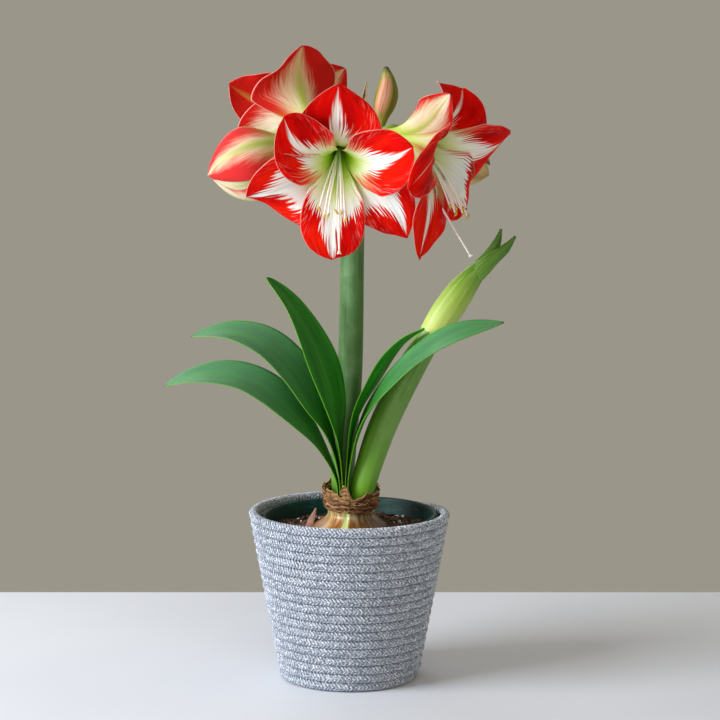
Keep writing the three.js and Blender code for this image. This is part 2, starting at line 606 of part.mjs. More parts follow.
/** The tall stalk with the six flower stalks of its umbel, each swollen to an ovary under its flower. */
function tallScape() {
  const head = lathe([[0, -8], [9.5, -8], [12, -3], [12, 1], [8.5, 4], [0, 5]], 14).translate(...UMBEL);
  const stalks = [...Object.values(FLOWERS), ...Object.values(BUDS)].map(({ base, axis }) => {
    const end = vector(base);
    const out = vector(axis).normalize();
    const start = vector(UMBEL);
    const away = end.clone().sub(start).setZ(0).normalize();
    start.addScaledVector(away, 5);
    const before = end.clone().addScaledVector(out, -14);
    const path = [start, start.clone().lerp(before, 0.5).add(new THREE.Vector3(0, 0, 2)), before, end];
    return stem(path.map((p) => p.toArray()), [4.2, 4, 3.9, 5.8, 5.6, 3.9], { sides: 7, steps: 7 });
  });
  const [x, y, z] = CLOSED_BUD[0];
  const bent = [[UMBEL[0] + 3, UMBEL[1] + 4, UMBEL[2]], [18, 14, 454], [x, y, z - 9], [x, y, z - 5], [x, y, z - 2 * GAP]];
  stalks.push(stem(bent, [3.6, 3.4, 3.4, 3.4], { sides: 7, steps: 6 }));
  return join(scapeSolid(TALL_SCAPE), head, ...stalks);
}

/** What is left of the tall stalk's own spathe stands withered behind the umbel. */
function witheredBract() {
  const width = [4.5, 5, 4.8, 4, 2.8, 1.6, 0.8];
  const curve = new THREE.CatmullRomCurve3([[4.6, 13.75, 445], [5, 14.1, 453], [7.4, 17, 470], [11.4, 18.5, 491],
    [14.6, 17.5, 511]]
    .map(vector));
  const grid = width.map((half, i) => {
    const s = i / (width.length - 1);
    return [-1, 0, 1].map((v) => curve.getPointAt(s)
      .add(new THREE.Vector3(0.95, 0.2 * Math.sin(5 * s), -0.2).multiplyScalar(v * half))
      .add(new THREE.Vector3(0, 1.4 * (1 - v * v), 0)));
  });
  return sheet(grid, 0.8);
}

// ---------------------------------------------------------------- the whole plant in its pot
const bladeSpaces = Object.values(LEAVES).map((leaf) => leafBlade(leaf, GAP));

addPiece('cover_pot', coverPot(), COLOURS.rope, 0.95);
addPiece('grow_pot', growPot(), COLOURS.plastic, 0.4);
addPiece('potting_mix', pottingMix(bulb(GAP), looseScale(GAP)), COLOURS.soil, 1);
addPiece('bulb', cut(bulb(), scapeSolid(TALL_SCAPE, GAP), scapeSolid(LEANING_SCAPE, GAP), ...bladeSpaces),
  COLOURS.bulb, 0.5);
addPiece('bulb_tunic', bulbTunic(), COLOURS.tunic, 0.8);
addPiece('loose_scale', looseScale(), COLOURS.tunic, 0.8);
addPiece('tall_scape', tallScape(), COLOURS.scape, 0.5);
addPiece('leaning_scape', scapeSolid(LEANING_SCAPE), COLOURS.paleScape, 0.5);
addPiece('spathe_bud', spatheBud(), COLOURS.spathe, 0.5);
addPiece('withered_bract', witheredBract(), COLOURS.bract, 0.8);
for (const [name, leaf] of Object.entries(LEAVES)) {
  addPiece(name, leafBlade(leaf), COLOURS.leaf, 0.4);
}
for (const [place, flower] of Object.entries(FLOWERS)) {
  addPiece(`${place}_bloom`, perianth(flower), COLOURS.petal, 0.5);
  addPiece(`${place}_stamens`, stamensAndStyle(flower), COLOURS.stamen, 0.6);
}
for (const [place, flower] of Object.entries(BUDS)) {
  addPiece(`${place}_opening_bud`, perianth(flower, 5, 4), COLOURS.openingBud, 0.5);
}
addPiece('closed_bud', closedBud(), COLOURS.closedBud, 0.5);

export default group;
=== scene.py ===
"""An amaryllis in bloom, its bulb in a nursery pot that stands inside a basket of coiled, braided rope.

Shapes are worked out in millimetres and turned to metres when a piece is made. +Z is up and the front is -Y.
"""
import functools
import random
from math import atan2, copysign, cos, exp, pi, radians, remainder, sin, sqrt

import bmesh
import bpy
from mathutils import Matrix, Vector, noise


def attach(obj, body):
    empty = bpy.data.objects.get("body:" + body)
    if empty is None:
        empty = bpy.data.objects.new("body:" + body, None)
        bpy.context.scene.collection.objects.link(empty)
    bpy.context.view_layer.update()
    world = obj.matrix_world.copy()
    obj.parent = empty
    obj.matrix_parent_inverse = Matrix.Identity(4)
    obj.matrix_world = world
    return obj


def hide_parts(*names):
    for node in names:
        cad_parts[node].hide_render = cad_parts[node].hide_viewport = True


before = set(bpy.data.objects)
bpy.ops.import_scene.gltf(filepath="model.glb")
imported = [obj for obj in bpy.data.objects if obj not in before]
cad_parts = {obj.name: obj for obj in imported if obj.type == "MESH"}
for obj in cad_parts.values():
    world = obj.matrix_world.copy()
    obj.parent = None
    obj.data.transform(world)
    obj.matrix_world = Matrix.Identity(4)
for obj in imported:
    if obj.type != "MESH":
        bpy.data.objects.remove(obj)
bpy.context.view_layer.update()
MM = 0.001

# ---------------------------------------------------------------- sizes that the solids have too
GAP = 0.3
COVER = {"height": 145, "bottom_radius": 60.2, "top_radius": 87, "rows": 19}
COVER_FLOOR = 8
GROW = {"height": 132.5, "bottom_radius": 48, "top_radius": 73.5, "rim": 1.5, "rim_height": 9, "wall": 1.6}
GROW_TILT = {"right_up": 1.2, "back_up": 1.0, "shift": (2.9, 0.8), "lift": 1.6}
SOIL_DEPTH = 119.6
NECK = {"offset": 1, "stretch_back": 1.11}
BULB_PROFILE = [(10, 58), (24, 62), (34, 74), (40, 90), (41.5, 104), (40, 116), (36.5, 125), (31.5, 132),
                (24, 137.5), (20, 142), (20.6, 148), (21.6, 154)]
UMBEL = (5.6, 2, 452)
LEAF_THICKNESS = 1.4
TEPAL_THICKNESS = 0.9


# ---------------------------------------------------------------- numbers and curves
def mix(a, b, t):
    return a + (b - a) * t


def smooth(start, end, x):
    t = min(1, max(0, (x - start) / (end - start)))
    return t * t * (3 - 2 * t)


def keyed(keys, t):
    """Smooth value at t, 0 to 1, through equally spaced key values."""
    x = min(1, max(0, t)) * (len(keys) - 1)
    i = min(int(x), len(keys) - 2)
    u = x - i
    before, a, b = keys[max(i - 1, 0)], keys[i], keys[i + 1]
    after = keys[min(i + 2, len(keys) - 1)]
    return 0.5 * (2 * a + (b - before) * u + (2 * before - 5 * a + 4 * b - after) * u ** 2
                  + (3 * a - before - 3 * b + after) * u ** 3)


def blade_width(s, base, wide, peak, round_, blunt):
    """Half width along a blade: from a narrow base to its widest place, then to the tip."""
    fall = (1 - ((s - peak) / (1 - peak)) ** round_) ** blunt if s > peak else 1
    return max(0.7, mix(base, wide, smooth(0, peak, s)) * fall)


def turned(vector, axis, angle):
    return Matrix.Rotation(angle, 3, axis) @ vector


def around(turn, radius, z=0):
    """The point at a bearing, a distance from the axis and a height."""
    return Vector((radius * cos(turn), radius * sin(turn), z))


def on_profile(profile, along):
    """The radius and the height at a share of a profile's rows."""
    return profile[round(along * (len(profile) - 1))]


class Path:
    """A smooth curve through points, walked by its share of length."""

    def __init__(self, points, steps=40):
        knots = [Vector(p) for p in points]
        knots = [2 * knots[0] - knots[1], *knots, 2 * knots[-1] - knots[-2]]
        self.points = []
        for i in range(len(knots) - 3):
            self.points += [self.between(knots[i:i + 4], k / steps) for k in range(steps)]
        self.points.append(knots[-2])
        self.reach = [0.0]
        for a, b in zip(self.points, self.points[1:]):
            self.reach.append(self.reach[-1] + (b - a).length)

    @staticmethod
    def between(knots, share):
        """Centripetal curve between the middle two of four knots."""
        times = [0.0]
        for a, b in zip(knots, knots[1:]):
            times.append(times[-1] + sqrt(max((b - a).length, 1e-6)))
        t = mix(times[1], times[2], share)
        row = knots
        for width in (1, 2, 3):
            first = 1 if width == 3 else 0
            row = [row[i].lerp(row[i + 1], (t - times[j]) / (times[j + min(width, 2)] - times[j]))
                   for i, j in zip(range(len(row) - 1), range(first, first + len(row) - 1))]
        return row[0]

    def at(self, share):
        """The point at a share of the length, and the direction there."""
        want = min(1, max(0, share)) * self.reach[-1]
        low, high = 0, len(self.reach) - 1
        while high - low > 1:
            middle = (low + high) // 2
            low, high = (middle, high) if self.reach[middle] <= want else (low, middle)
        a, b = self.points[low], self.points[high]
        point = a.lerp(b, (want - self.reach[low]) / max(self.reach[high] - self.reach[low], 1e-9))
        ahead = self.points[min(high + 1, len(self.points) - 1)] - self.points[max(low - 1, 0)]
        return point, ahead.normalized()


# ---------------------------------------------------------------- building a piece
# numbers that a sheet carries for its material: seed sets like parts apart, star is how wide its white is,
# flush how red its back, lopsided how much redder one side of it, and the last how bleached a dry scale is
# and how much painted grey-blue sheen lies towards a leaf's tip
MARKS = {"seed": 0.0, "star": 1.0, "flush": 0.0, "lopsided": 0.0, "paled": 0.0}


def start_mesh():
    """An empty mesh with a UV map, the marks that materials read, and a share of thickness."""
    bm = bmesh.new()
    bm.loops.layers.uv.new("UVMap")
    for mark in MARKS:
        bm.verts.layers.float.new(mark)
    bm.verts.layers.deform.verify()
    return bm


def lay_sheet(bm, columns, rows, place, material=0, thick=None, **marks):
    """A sheet laid out by place(across, along), with across -1 to 1 and along 0 to 1. A mark, and thick,
    may be a number or such a rule too."""
    layers = [(bm.verts.layers.float[mark], marks.get(mark, usual)) for mark, usual in MARKS.items()]
    weights = bm.verts.layers.deform.active
    verts = bmesh.ops.create_grid(bm, x_segments=columns, y_segments=rows, size=1, calc_uvs=True)["verts"]
    for vert in verts:
        across, along = vert.co.x, (vert.co.y + 1) / 2
        for layer, value in layers:
            vert[layer] = value(across, along) if callable(value) else value
        if thick:
            vert[weights][0] = thick(across, along)
        vert.co = place(across, along)
    if material:
        for face in {face for vert in verts for face in vert.link_faces}:
            face.material_index = material
    return verts


def wrap_skin(bm, sides, rows, place, **marks):
    """A closed skin laid out by place(turn, along), with turn in radians. Open ends are filled."""
    verts = lay_sheet(bm, sides, rows, lambda across, along: place(pi * across, along), **marks)
    bmesh.ops.remove_doubles(bm, verts=verts, dist=1e-3)
    ends = {edge for vert in verts if vert.is_valid for edge in vert.link_edges if edge.is_boundary}
    bmesh.ops.holes_fill(bm, edges=list(ends), sides=0)


def stem_skin(bm, points, radii, sides=16, rows=40, flat=1.0, section=None, **marks):
    """A stem along a smooth path. section(turn, along) gives its radius a share of the round one."""
    path = Path(points)
    rings = []
    across = Vector((0, 1, 0))
    for i in range(rows + 1):
        point, along = path.at(i / rows)
        across = (across - along * across.dot(along)).normalized()
        rings.append((point, across, along.cross(across), keyed(radii, i / rows)))

    def place(turn, along):
        point, across, side, radius = rings[round(along * rows)]
        if section:
            radius *= section(turn, along)
        return point + across * (radius * flat * cos(turn)) + side * (radius * sin(turn))

    wrap_skin(bm, sides, rows, place, **marks)


def ribbed(depth, ribs):
    """A round section with low ribs along the stem."""
    return lambda turn, along: 1 + depth * sin(ribs * turn)


def make_piece(bm, name, node, slot, *materials):
    """The finished mesh as a piece that stands for a node of the solids."""
    bmesh.ops.scale(bm, vec=(MM, MM, MM), verts=bm.verts)
    mesh = bpy.data.meshes.new(name)
    bm.to_mesh(mesh)
    bm.free()
    for material in materials:
        mesh.materials.append(material)
    mesh.polygons.foreach_set("use_smooth", [True] * len(mesh.polygons))
    piece = bpy.data.objects.new(name, mesh)
    bpy.context.scene.collection.objects.link(piece)
    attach(piece, "root")
    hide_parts(node)
    return piece


def thicken(piece, thickness, thinnest, two_sided=False):
    """Give a sheet its thickness, and its thinnest place as a share of it. A two-sided sheet has its second
    material on the back."""
    piece.vertex_groups.new(name="thickness")
    wall = piece.modifiers.new("thickness", "SOLIDIFY")
    wall.thickness = thickness * MM
    wall.offset = 0
    wall.vertex_group = "thickness"
    wall.thickness_vertex_group = thinnest
    wall.material_offset = 1 if two_sided else 0


# ---------------------------------------------------------------- materials
def linear(colour):
    """An sRGB hex colour as linear red, green, blue and alpha."""
    shares = [int(colour[i:i + 2], 16) / 255 for i in (1, 3, 5)]
    return [c / 12.92 if c <= 0.04045 else ((c + 0.055) / 1.055) ** 2.4 for c in shares] + [1.0]


class Shader:
    """The nodes of a material or of the room, put in one by one. A method gives back what its node gives."""

    def __init__(self, block):
        block.use_nodes = True
        self.block, self.tree = block, block.node_tree
        self.tree.nodes.clear()

    def put(self, kind, *inputs, stops=None, out=0, **settings):
        """Add a node. inputs fill its sockets in order, None leaving one as it is. A capitalised setting
        names a socket, its spaces written _. stops are a colour ramp's."""
        node = self.tree.nodes.new("ShaderNode" + kind)
        sockets = dict(enumerate(inputs))
        for name, value in settings.items():
            if name[0].isupper():
                sockets[name.replace("_", " ")] = value
            else:
                setattr(node, name, value)
        for name, value in sockets.items():
            if isinstance(value, bpy.types.NodeSocket):
                self.tree.links.new(value, node.inputs[name])
            elif value is not None:
                node.inputs[name].default_value = linear(value) if isinstance(value, str) else value
        if stops:
            elements = node.color_ramp.elements
            while len(elements) < len(stops):
                elements.new(1)
            for element, (position, shade) in zip(elements, stops):
                element.position = position
                element.color = linear(shade) if isinstance(shade, str) else (shade, shade, shade, 1)
        return node.outputs[out] if node.outputs else node

    def calc(self, operation, *values):
        return self.put("Math", *values, operation=operation)

    def times(self, a, b, plus=None):
        return self.calc("MULTIPLY", a, b) if plus is None else self.calc("MULTIPLY_ADD", a, b, plus)

    def ranged(self, value, start, end, low=0, high=1, **settings):
        """From low to high, evenly, as the value goes from start to end."""
        return self.put("MapRange", value, start, end, low, high, **settings)

    def eased(self, value, start, end, low=0, high=1):
        """The same, but gently at both ends."""
        return self.ranged(value, start, end, low, high, interpolation_type="SMOOTHSTEP")

    def blend(self, share, under, over):
        return self.put("MixRGB", share, under, over)

    def tint(self, colour, shade, *easing):
        """A shade laid over a colour, by the share that eased gives."""
        return self.blend(self.eased(*easing), colour, shade)

    def ramp(self, value, *stops):
        return self.put("ValToRGB", value, stops=stops)

    def mark(self, name):
        """One of the MARKS."""
        return self.put("Attribute", attribute_name=name, out=2)

    def uv(self):
        return self.put("SeparateXYZ", self.put("UVMap", uv_map="UVMap")).node.outputs

    def spot(self):
        """The place on the object, in metres."""
        return self.put("TexCoord").node.outputs["Object"]

    def cloud(self, place, scale, detail, roughness=0.5):
        return self.put("TexNoise", place, Scale=scale, Detail=detail, Roughness=roughness)

    def streaks(self, place, count, stretch, shift=0, detail=2):
        """Uneven lines along a blade: how many lie side by side, and how often each is broken."""
        stretched = self.put("Mapping", place, (shift, shift, shift), None, (count, stretch, 7))
        return self.cloud(stretched, 1, detail, 0.6)

    def places(self, fanned=False):
        """Where a point lies on a sheet: its distance from the midrib and from the base, each 0 to 1,
        and its place for a pattern, which differs from blade to blade. Fanned veins run out to the edges."""
        uv = self.uv()
        side = self.times(uv["X"], 2, plus=-1)
        lane = uv["X"]
        if fanned:
            drawn_in = self.ramp(uv["Y"], (0.1, 1.0), (0.35, 0.86), (0.6, 0.6), (0.8, 0.4), (1, 0.22))
            lane = self.times(self.times(side, drawn_in), 0.5, plus=0.5)
        return self.calc("ABSOLUTE", side), uv["Y"], self.put("CombineXYZ", lane, uv["Y"], self.mark("seed"))

    def finish(self, colour, roughness, ior, bump=None, **shader):
        """The finished material. bump is its strength, its depth in mm and its height."""
        if bump:
            strength, depth, height = bump
            shader["Normal"] = self.put("Bump", strength, depth * MM, Height=height)
        surface = self.put("BsdfPrincipled", Base_Color=colour, Roughness=roughness, IOR=ior, **shader)
        self.put("OutputMaterial", surface)
        return self.block


def start_material(name):
    return Shader(bpy.data.materials.new(name))


VEINS_ACROSS_TEPAL = 80  # a vein about every 0.8 mm on a blade 60 mm wide
FINER_VEINS = 1.7 * VEINS_ACROSS_TEPAL
VEINS_ACROSS_LEAF = 26   # a vein about every 1.6 mm
TEETH_ACROSS_TEPAL = 42  # red and white teeth about 1.5 mm apart where they meet


def petal_inside():
    """Living petal, its open face: satiny cells that glow red, with a white star combed out along the
    veins, a lime throat and a fine pale edge."""
    m = start_material("petal_red_and_white")
    across, along, place = m.places(fanned=True)
    fine = m.streaks(place, VEINS_ACROSS_TEPAL, 3.2)
    finer = m.streaks(place, FINER_VEINS, 9, shift=3.1)
    broad = m.streaks(place, 9, 2.4, shift=5.7)
    teeth = m.times(m.put("SeparateXYZ", place), 2 * pi * TEETH_ACROSS_TEPAL, plus=m.times(broad, 14))
    raggedness = m.calc("SUBTRACT", fine, 0.5)

    # a star over 1 pushes the wedge out towards the tip, and one under 1 narrows it
    star = m.mark("star")
    moved = m.times(m.calc("SUBTRACT", star, 1), -0.14, plus=along)
    wedge = m.ramp(moved, (0, 1.0), (0.38, 1.0), (0.46, 0.7), (0.54, 0.42), (0.64, 0.25), (0.78, 0.15),
                   (0.92, 0.06), (1, 0.03))
    wedge = m.times(wedge, m.calc("MINIMUM", star, 1))
    feather = m.ramp(moved, (0, 0.2), (0.28, 1.0), (0.58, 0.85), (0.72, 0.4), (0.9, 0.15))
    ragged = m.times(m.calc("SINE", teeth), 0.13, plus=raggedness)
    ragged = m.times(m.calc("SUBTRACT", broad, 0.5), 0.7, plus=ragged)
    edge = m.calc("SUBTRACT", m.times(ragged, feather, plus=wedge), across)
    white = m.eased(edge, -0.06, 0.1)

    flecks = m.times(m.eased(finer, 0.54, 0.66, 0, 0.7), m.eased(across, 0.55, 0.9))
    flecks = m.times(flecks, m.ramp(along, (0.3, 1.0), (0.62, 0.75), (0.85, 0.16)))
    rim = m.eased(across, 0.972, 0.995, 0, 0.5)
    red = m.ramp(broad, (0.34, "#b40200"), (0.5, "#da0601"), (0.68, "#ee1a02"))
    red = m.blend(m.calc("MAXIMUM", flecks, rim), red, "#f6b9ad")
    snow = m.ramp(fine, (0.36, "#eee2d6"), (0.5, "#faf4ec"), (0.7, "#fffdf8"))
    colour = m.blend(white, red, snow)

    depth = m.times(across, 0.1, plus=m.times(raggedness, -0.4, plus=along))
    throat = m.ramp(depth, (0.3, 1.0), (0.42, 0.9), (0.52, 0.5), (0.66, 0.0))
    lime = m.ramp(depth, (0.2, "#a6dc1c"), (0.34, "#b4e02c"), (0.46, "#cde85e"), (0.6, "#eaf2b4"))
    return m.finish(m.blend(throat, colour, lime), 0.6, 1.42, (0.35, 0.6, m.calc("ADD", fine, finer)),
                    Specular_IOR_Level=0.06, Subsurface_Weight=0.55, Subsurface_Radius=(1.0, 0.5, 0.35),
                    Subsurface_Scale=0.002)


def petal_outside(name, pale, ground, margin, keel, flush, hem="#f1c4b6"):
    """Living petal, its back: a duller, cream ground with a lime keel, fine veins and a red flush that
    fades in from the edges. flush says how far in the red comes."""
    m = start_material(name)
    across, along, place = m.places(fanned=True)
    fine = m.streaks(place, VEINS_ACROSS_TEPAL, 5, shift=1.3)
    finer = m.streaks(place, FINER_VEINS, 9, shift=8.3)
    broad = m.streaks(place, 5, 3, shift=4.4)
    colour = m.blend(m.ranged(broad, 0.35, 0.65), ground, pale)
    colour = m.tint(colour, keel, finer, 0.5, 0.36, 0, 0.3)

    side = m.times(m.uv()["X"], 2, plus=-1)
    reach = m.calc("ADD", m.mark("flush"), m.times(side, m.mark("lopsided"), plus=across))
    reach = m.times(along, 0.4, plus=reach)
    ragged = m.times(broad, 0.4, plus=m.times(fine, 0.55, plus=reach))
    colour = m.tint(colour, margin, ragged, 1.15 - flush, 1.7 - flush, 0, 0.985)

    ridge = m.calc("DIVIDE", across, m.times(along, -0.1, plus=0.2))
    ridge = m.times(m.eased(ridge, 0.1, 1.5, 0.85, 0), m.ramp(along, (0.5, 1.0), (0.95, 0.2)))
    colour = m.blend(ridge, colour, keel)
    colour = m.tint(colour, "#b9d24a", m.times(fine, 0.25, plus=along), 0.22, 0.64, 0.95, 0)  # the foot
    colour = m.tint(colour, hem, across, 0.97, 0.992, 0, 0.7)
    return m.finish(colour, 0.6, 1.42, (0.4, 0.7, m.calc("ADD", fine, finer)), Specular_IOR_Level=0.1,
                    Subsurface_Weight=0.5, Subsurface_Radius=(1.0, 0.6, 0.4), Subsurface_Scale=0.002)


def leaf_blade_material():
    """Fleshy strap leaf with a waxy cuticle: deep green, greyed towards the tip by a painted grey-blue sheen,
    fine parallel veins, a pale hard edge and a broken gloss."""
    m = start_material("waxy_leaf")
    across, along, place = m.places()
    fine = m.streaks(place, VEINS_ACROSS_LEAF, 1.1)
    broad = m.streaks(place, 4, 3, shift=2.2)
    colour = m.ramp(broad, (0.32, "#146400"), (0.5, "#207e03"), (0.68, "#30960a"))
    colour = m.tint(colour, "#46901e", fine, 0.42, 0.66, 0, 0.22)
    # painted sheen: a grey-blue cast towards the tip, strongest on the leaves that face the window
    colour = m.blend(m.times(m.eased(along, 0.24, 0.72), m.mark("paled")), colour, "#6e9a7c")
    colour = m.tint(colour, "#55963a", across, 0.02, 0.1, 0.28, 0)     # the midrib
    colour = m.tint(colour, "#5f9a2e", along, 0.02, 0.3, 0.7, 0)       # young growth at the foot
    colour = m.tint(colour, "#7aa62a", across, 0.965, 0.99, 0, 0.55)   # the hard edge
    colour = m.tint(colour, "#5c4a24", along, 0.98, 0.997, 0, 0.45)    # the dry tip
    return m.finish(colour, m.ranged(broad, 0.3, 0.7, 0.34, 0.48), 1.45, (0.5, 0.5, fine),
                    Specular_IOR_Level=0.12, Subsurface_Weight=0.25, Subsurface_Radius=(0.4, 1.0, 0.1),
                    Subsurface_Scale=0.003)


def stalk_material(name, deep, light, bloom, foot):
    """Hollow flower stalk with a waxy skin: fine lengthwise ribs, and a grey bloom rubbed off in places."""
    m = start_material(name)
    spot = m.spot()
    ribs = m.streaks(m.places()[2], 30, 2)
    colour = m.ramp(ribs, (0.2, deep), (0.8, light))
    colour = m.tint(colour, bloom, m.cloud(spot, 45, 4, 0.6), 0.4, 0.7, 0, 0.4)
    colour = m.tint(colour, foot, m.put("SeparateXYZ", spot, out=2), 0.15, 0.24, 0.85, 0)
    return m.finish(colour, 0.42, 1.45, (0.3, 0.4, ribs), Coat_Weight=0.12, Coat_Roughness=0.4,
                    Subsurface_Weight=0.1, Subsurface_Scale=0.003)


SHEATH_FOOT = (-0.074, 0.002, -0.3036)  # metres back from the sheath's foot to the middle
SHEATH_LENGTH = 0.105
SHEATH_LEAN = 0.66


def spathe_material():
    """Papery green sheath: lime below and deep green at its two tips, with close parallel veins that
    fade out on the way up."""
    m = start_material("sheath_lime_to_green")
    from_foot = m.put("Mapping", m.spot(), SHEATH_FOOT, None, (1, 1, 1))
    upright = m.put("VectorRotate", from_foot, None, None, None, (0, -SHEATH_LEAN, 0),
                    rotation_type="EULER_XYZ")
    length = m.put("SeparateXYZ", upright, out=2)
    fibre = m.streaks(m.places()[2], 30, 1.4)
    colour = m.ramp(m.ranged(length, 0, SHEATH_LENGTH), (0.02, "#c3d66c"), (0.3, "#95b63c"),
                    (0.54, "#5f8f1c"), (0.85, "#41700a"))
    veins = m.times(m.eased(fibre, 0.45, 0.68, 0, 0.4), m.ranged(length, 0.05, 0.08, 1, 0.12))
    return m.finish(m.blend(veins, colour, "#c3d97c"), 0.4, 1.45, (0.5, 0.5, fibre), Coat_Weight=0.15,
                    Coat_Roughness=0.3, Subsurface_Weight=0.1, Subsurface_Scale=0.003)


def closed_bud_material():
    """Young bud: olive green with salmon panels that are dark red where they meet, and a dark tip."""
    m = start_material("bud_olive_and_salmon")
    _, along, place = m.places()
    fine = m.streaks(place, 70, 3)
    colour = m.ramp(
        m.times(fine, 0.025, plus=m.uv()["X"]),
        (0.05, "#8a8a30"), (0.08, "#d08a6a"), (0.17, "#dc9a78"), (0.2, "#7c2a20"), (0.225, "#c88868"),
        (0.28, "#a8925a"), (0.32, "#6f7a24"), (0.52, "#8c9a38"), (0.58, "#cf8f70"), (0.68, "#d89a7c"),
        (0.71, "#7c2a20"), (0.75, "#86862e"), (1, "#8a8a30"))
    green = m.ramp(fine, (0.35, "#66701f"), (0.6, "#9aa13c"))
    ends = m.ramp(m.times(fine, 0.12, plus=along), (0.2, 1.0), (0.36, 0.1), (0.8, 0.1), (0.95, 0.9))
    colour = m.tint(m.blend(ends, colour, green), "#3a3418", along, 0.86, 0.98, 0, 0.85)
    return m.finish(colour, 0.42, 1.42, (0.4, 0.4, fine), Subsurface_Weight=0.1, Subsurface_Scale=0.002)


def filament_material():
    """Threads of the stamens: wet-looking white flesh, green where they leave the throat."""
    m = start_material("filament_white")
    _, along, place = m.places()
    colour = m.ramp(along, (0.05, "#a9cc3c"), (0.32, "#dfeab0"), (0.6, "#fbfaee"), (0.95, "#fdf0e8"))
    colour = m.blend(m.ranged(m.streaks(place, 4, 9), 0.4, 0.7, 0, 0.3), colour, "#ffffff")
    return m.finish(colour, 0.35, 1.4, Subsurface_Weight=0.2, Subsurface_Scale=0.001)


def pollen_material():
    """Ripe anther: a dry, powdery yellow crust, its grains about half a millimetre across."""
    m = start_material("pollen_yellow")
    grain = m.cloud(m.spot(), 2200, 2, 0.7)
    colour = m.ramp(grain, (0.35, "#a8842a"), (0.5, "#d9b83c"), (0.66, "#f1dd78"))
    return m.finish(colour, 0.85, 1.5, (0.7, 0.4, grain))


def bulb_skin_material():
    """Fresh bulb scale: a thin glossy skin, golden tan with brown veins from top to bottom, split in front
    over a pale green one. Its right side is dark brown, partly its own browner skin and partly painted shade."""
    m = start_material("bulb_skin")
    _, along, place = m.places()
    bearing = m.uv()["X"]
    veins = m.streaks(place, 70, 5)          # a vein about every 3 mm, often broken
    patches = m.streaks(place, 11, 3, shift=6.1)
    colour = m.ramp(patches, (0.3, "#6c3a12"), (0.45, "#945c24"), (0.58, "#b87e3a"), (0.7, "#dfbb70"))
    colour = m.tint(colour, "#6d3c1c", veins, 0.52, 0.38, 0, 0.6)
    # the right side, away from the window, painted dark brown: partly browner skin, partly painted shade
    brown_and_painted_shade = m.ramp(m.times(patches, 0.12, plus=bearing), (0.28, 0.0), (0.34, 0.8), (0.6, 0.75), (0.7, 0.1))
    colour = m.blend(brown_and_painted_shade, colour, "#4c2412")
    pale_neck = m.ramp(m.times(veins, 0.12, plus=along), (0.9, 0.0), (0.96, 0.4), (1, 0.8))
    colour = m.blend(pale_neck, colour, m.ramp(veins, (0.36, "#8a5a32"), (0.5, "#cfc48c")))
    from_split = m.calc("ABSOLUTE", m.calc("SUBTRACT", bearing, 0.221))
    colour = m.tint(colour, "#cfdc90", m.times(veins, 0.02, plus=from_split), 0.021, 0.034, 1, 0)
    return m.finish(colour, m.ranged(patches, 0.3, 0.7, 0.48, 0.28), 1.45, (0.5, 0.6, veins), Coat_Weight=0.3,
                    Coat_Roughness=0.2)


def dry_scale_material(name, dark, middle, light):
    """Dead papery scale: thin, matt and brown, with fibres from top to bottom and bleached tears."""
    m = start_material(name)
    across, _, place = m.places()
    fibre = m.streaks(place, 80, 2, detail=4)
    patches = m.streaks(place, 12, 5, shift=3.3, detail=4)
    both = m.times(m.calc("ADD", fibre, patches), 0.5)
    colour = m.ramp(both, (0.36, dark), (0.5, middle), (0.64, light))
    torn = m.eased(m.times(patches, 0.5, plus=across), 1.06, 1.22, 0, 0.7)
    colour = m.blend(m.calc("MAXIMUM", m.mark("paled"), torn), colour, light)
    return m.finish(colour, 0.72, 1.48, (0.7, 0.9, both))


def rope_material(chevrons):
    """Braided cotton cord: strands of mixed white and grey thread that lean both ways in a herringbone,
    soft and matt, with painted shade in the grooves between the strands."""
    m = start_material("braided_cotton_rope")
    uv = m.uv()
    along = m.times(uv["Y"], chevrons)
    off_centre = m.calc("ABSOLUTE", m.calc("SUBTRACT", m.calc("FRACT", along), 0.5))
    # threads run along a strand, about four side by side, each seen for a few millimetres
    strand = m.calc("ADD", m.calc("FLOOR", along), m.calc("GREATER_THAN", uv["X"], 0.5))
    tone = m.put("TexWhiteNoise", None, m.times(strand, 0.37), noise_dimensions="1D")
    thread = m.cloud(m.put("CombineXYZ", m.times(uv["X"], 16), m.times(along, 2.6), strand), 1, 1)
    colour = m.ramp(m.times(tone, 0.06, plus=thread), (0.34, "#59626f"), (0.48, "#8f98a6"), (0.58, "#b9c1cd"),
                    (0.68, "#f4f6fb"))
    # painted shade in the grooves between the strands
    colour = m.tint(colour, "#3c4352", off_centre, 0.3, 0.48, 0, 0.92)
    relief = m.times(off_centre, -1.2, plus=thread)
    return m.finish(colour, 0.9, 1.47, (0.6, 0.7, relief), Sheen_Weight=0.25, Sheen_Roughness=0.5)


def pot_plastic_material():
    """Blow-moulded polypropylene: dark teal green, waxy, with scuffs and dried splashes of soil."""
    m = start_material("polypropylene_teal")
    spot = m.spot()
    scuff = m.cloud(m.put("Mapping", spot, None, None, (60, 60, 420)), 1, 3, 0.7)
    colour = m.ramp(m.cloud(spot, 30, 5, 0.6), (0.35, "#04211d"), (0.55, "#083630"), (0.72, "#12504a"))
    colour = m.tint(colour, "#2f6f68", scuff, 0.56, 0.68, 0, 0.45)
    colour = m.tint(colour, "#2b2119", m.cloud(spot, 160, 4, 0.7), 0.6, 0.68, 0, 0.7)
    return m.finish(colour, m.ranged(scuff, 0.4, 0.7, 0.45, 0.7), 1.49, (0.25, 0.4, scuff),
                    Specular_IOR_Level=0.25)


def earth_material(name, dark, middle, light, grain, relief):
    """Peaty crumb or a bit of bark or perlite: rough, dull and uneven in tone. grain is its crumb in mm."""
    m = start_material(name)
    spot = m.spot()
    crumb = m.cloud(spot, 1 / (grain * MM), 5, 0.75)
    tone = m.calc("ADD", m.times(crumb, 0.7), m.times(m.cloud(spot, 90, 2), 0.3))
    colour = m.ramp(tone, (0.38, dark), (0.5, middle), (0.62, light))
    return m.finish(colour, 0.92, 1.5, (0.9, relief, crumb))


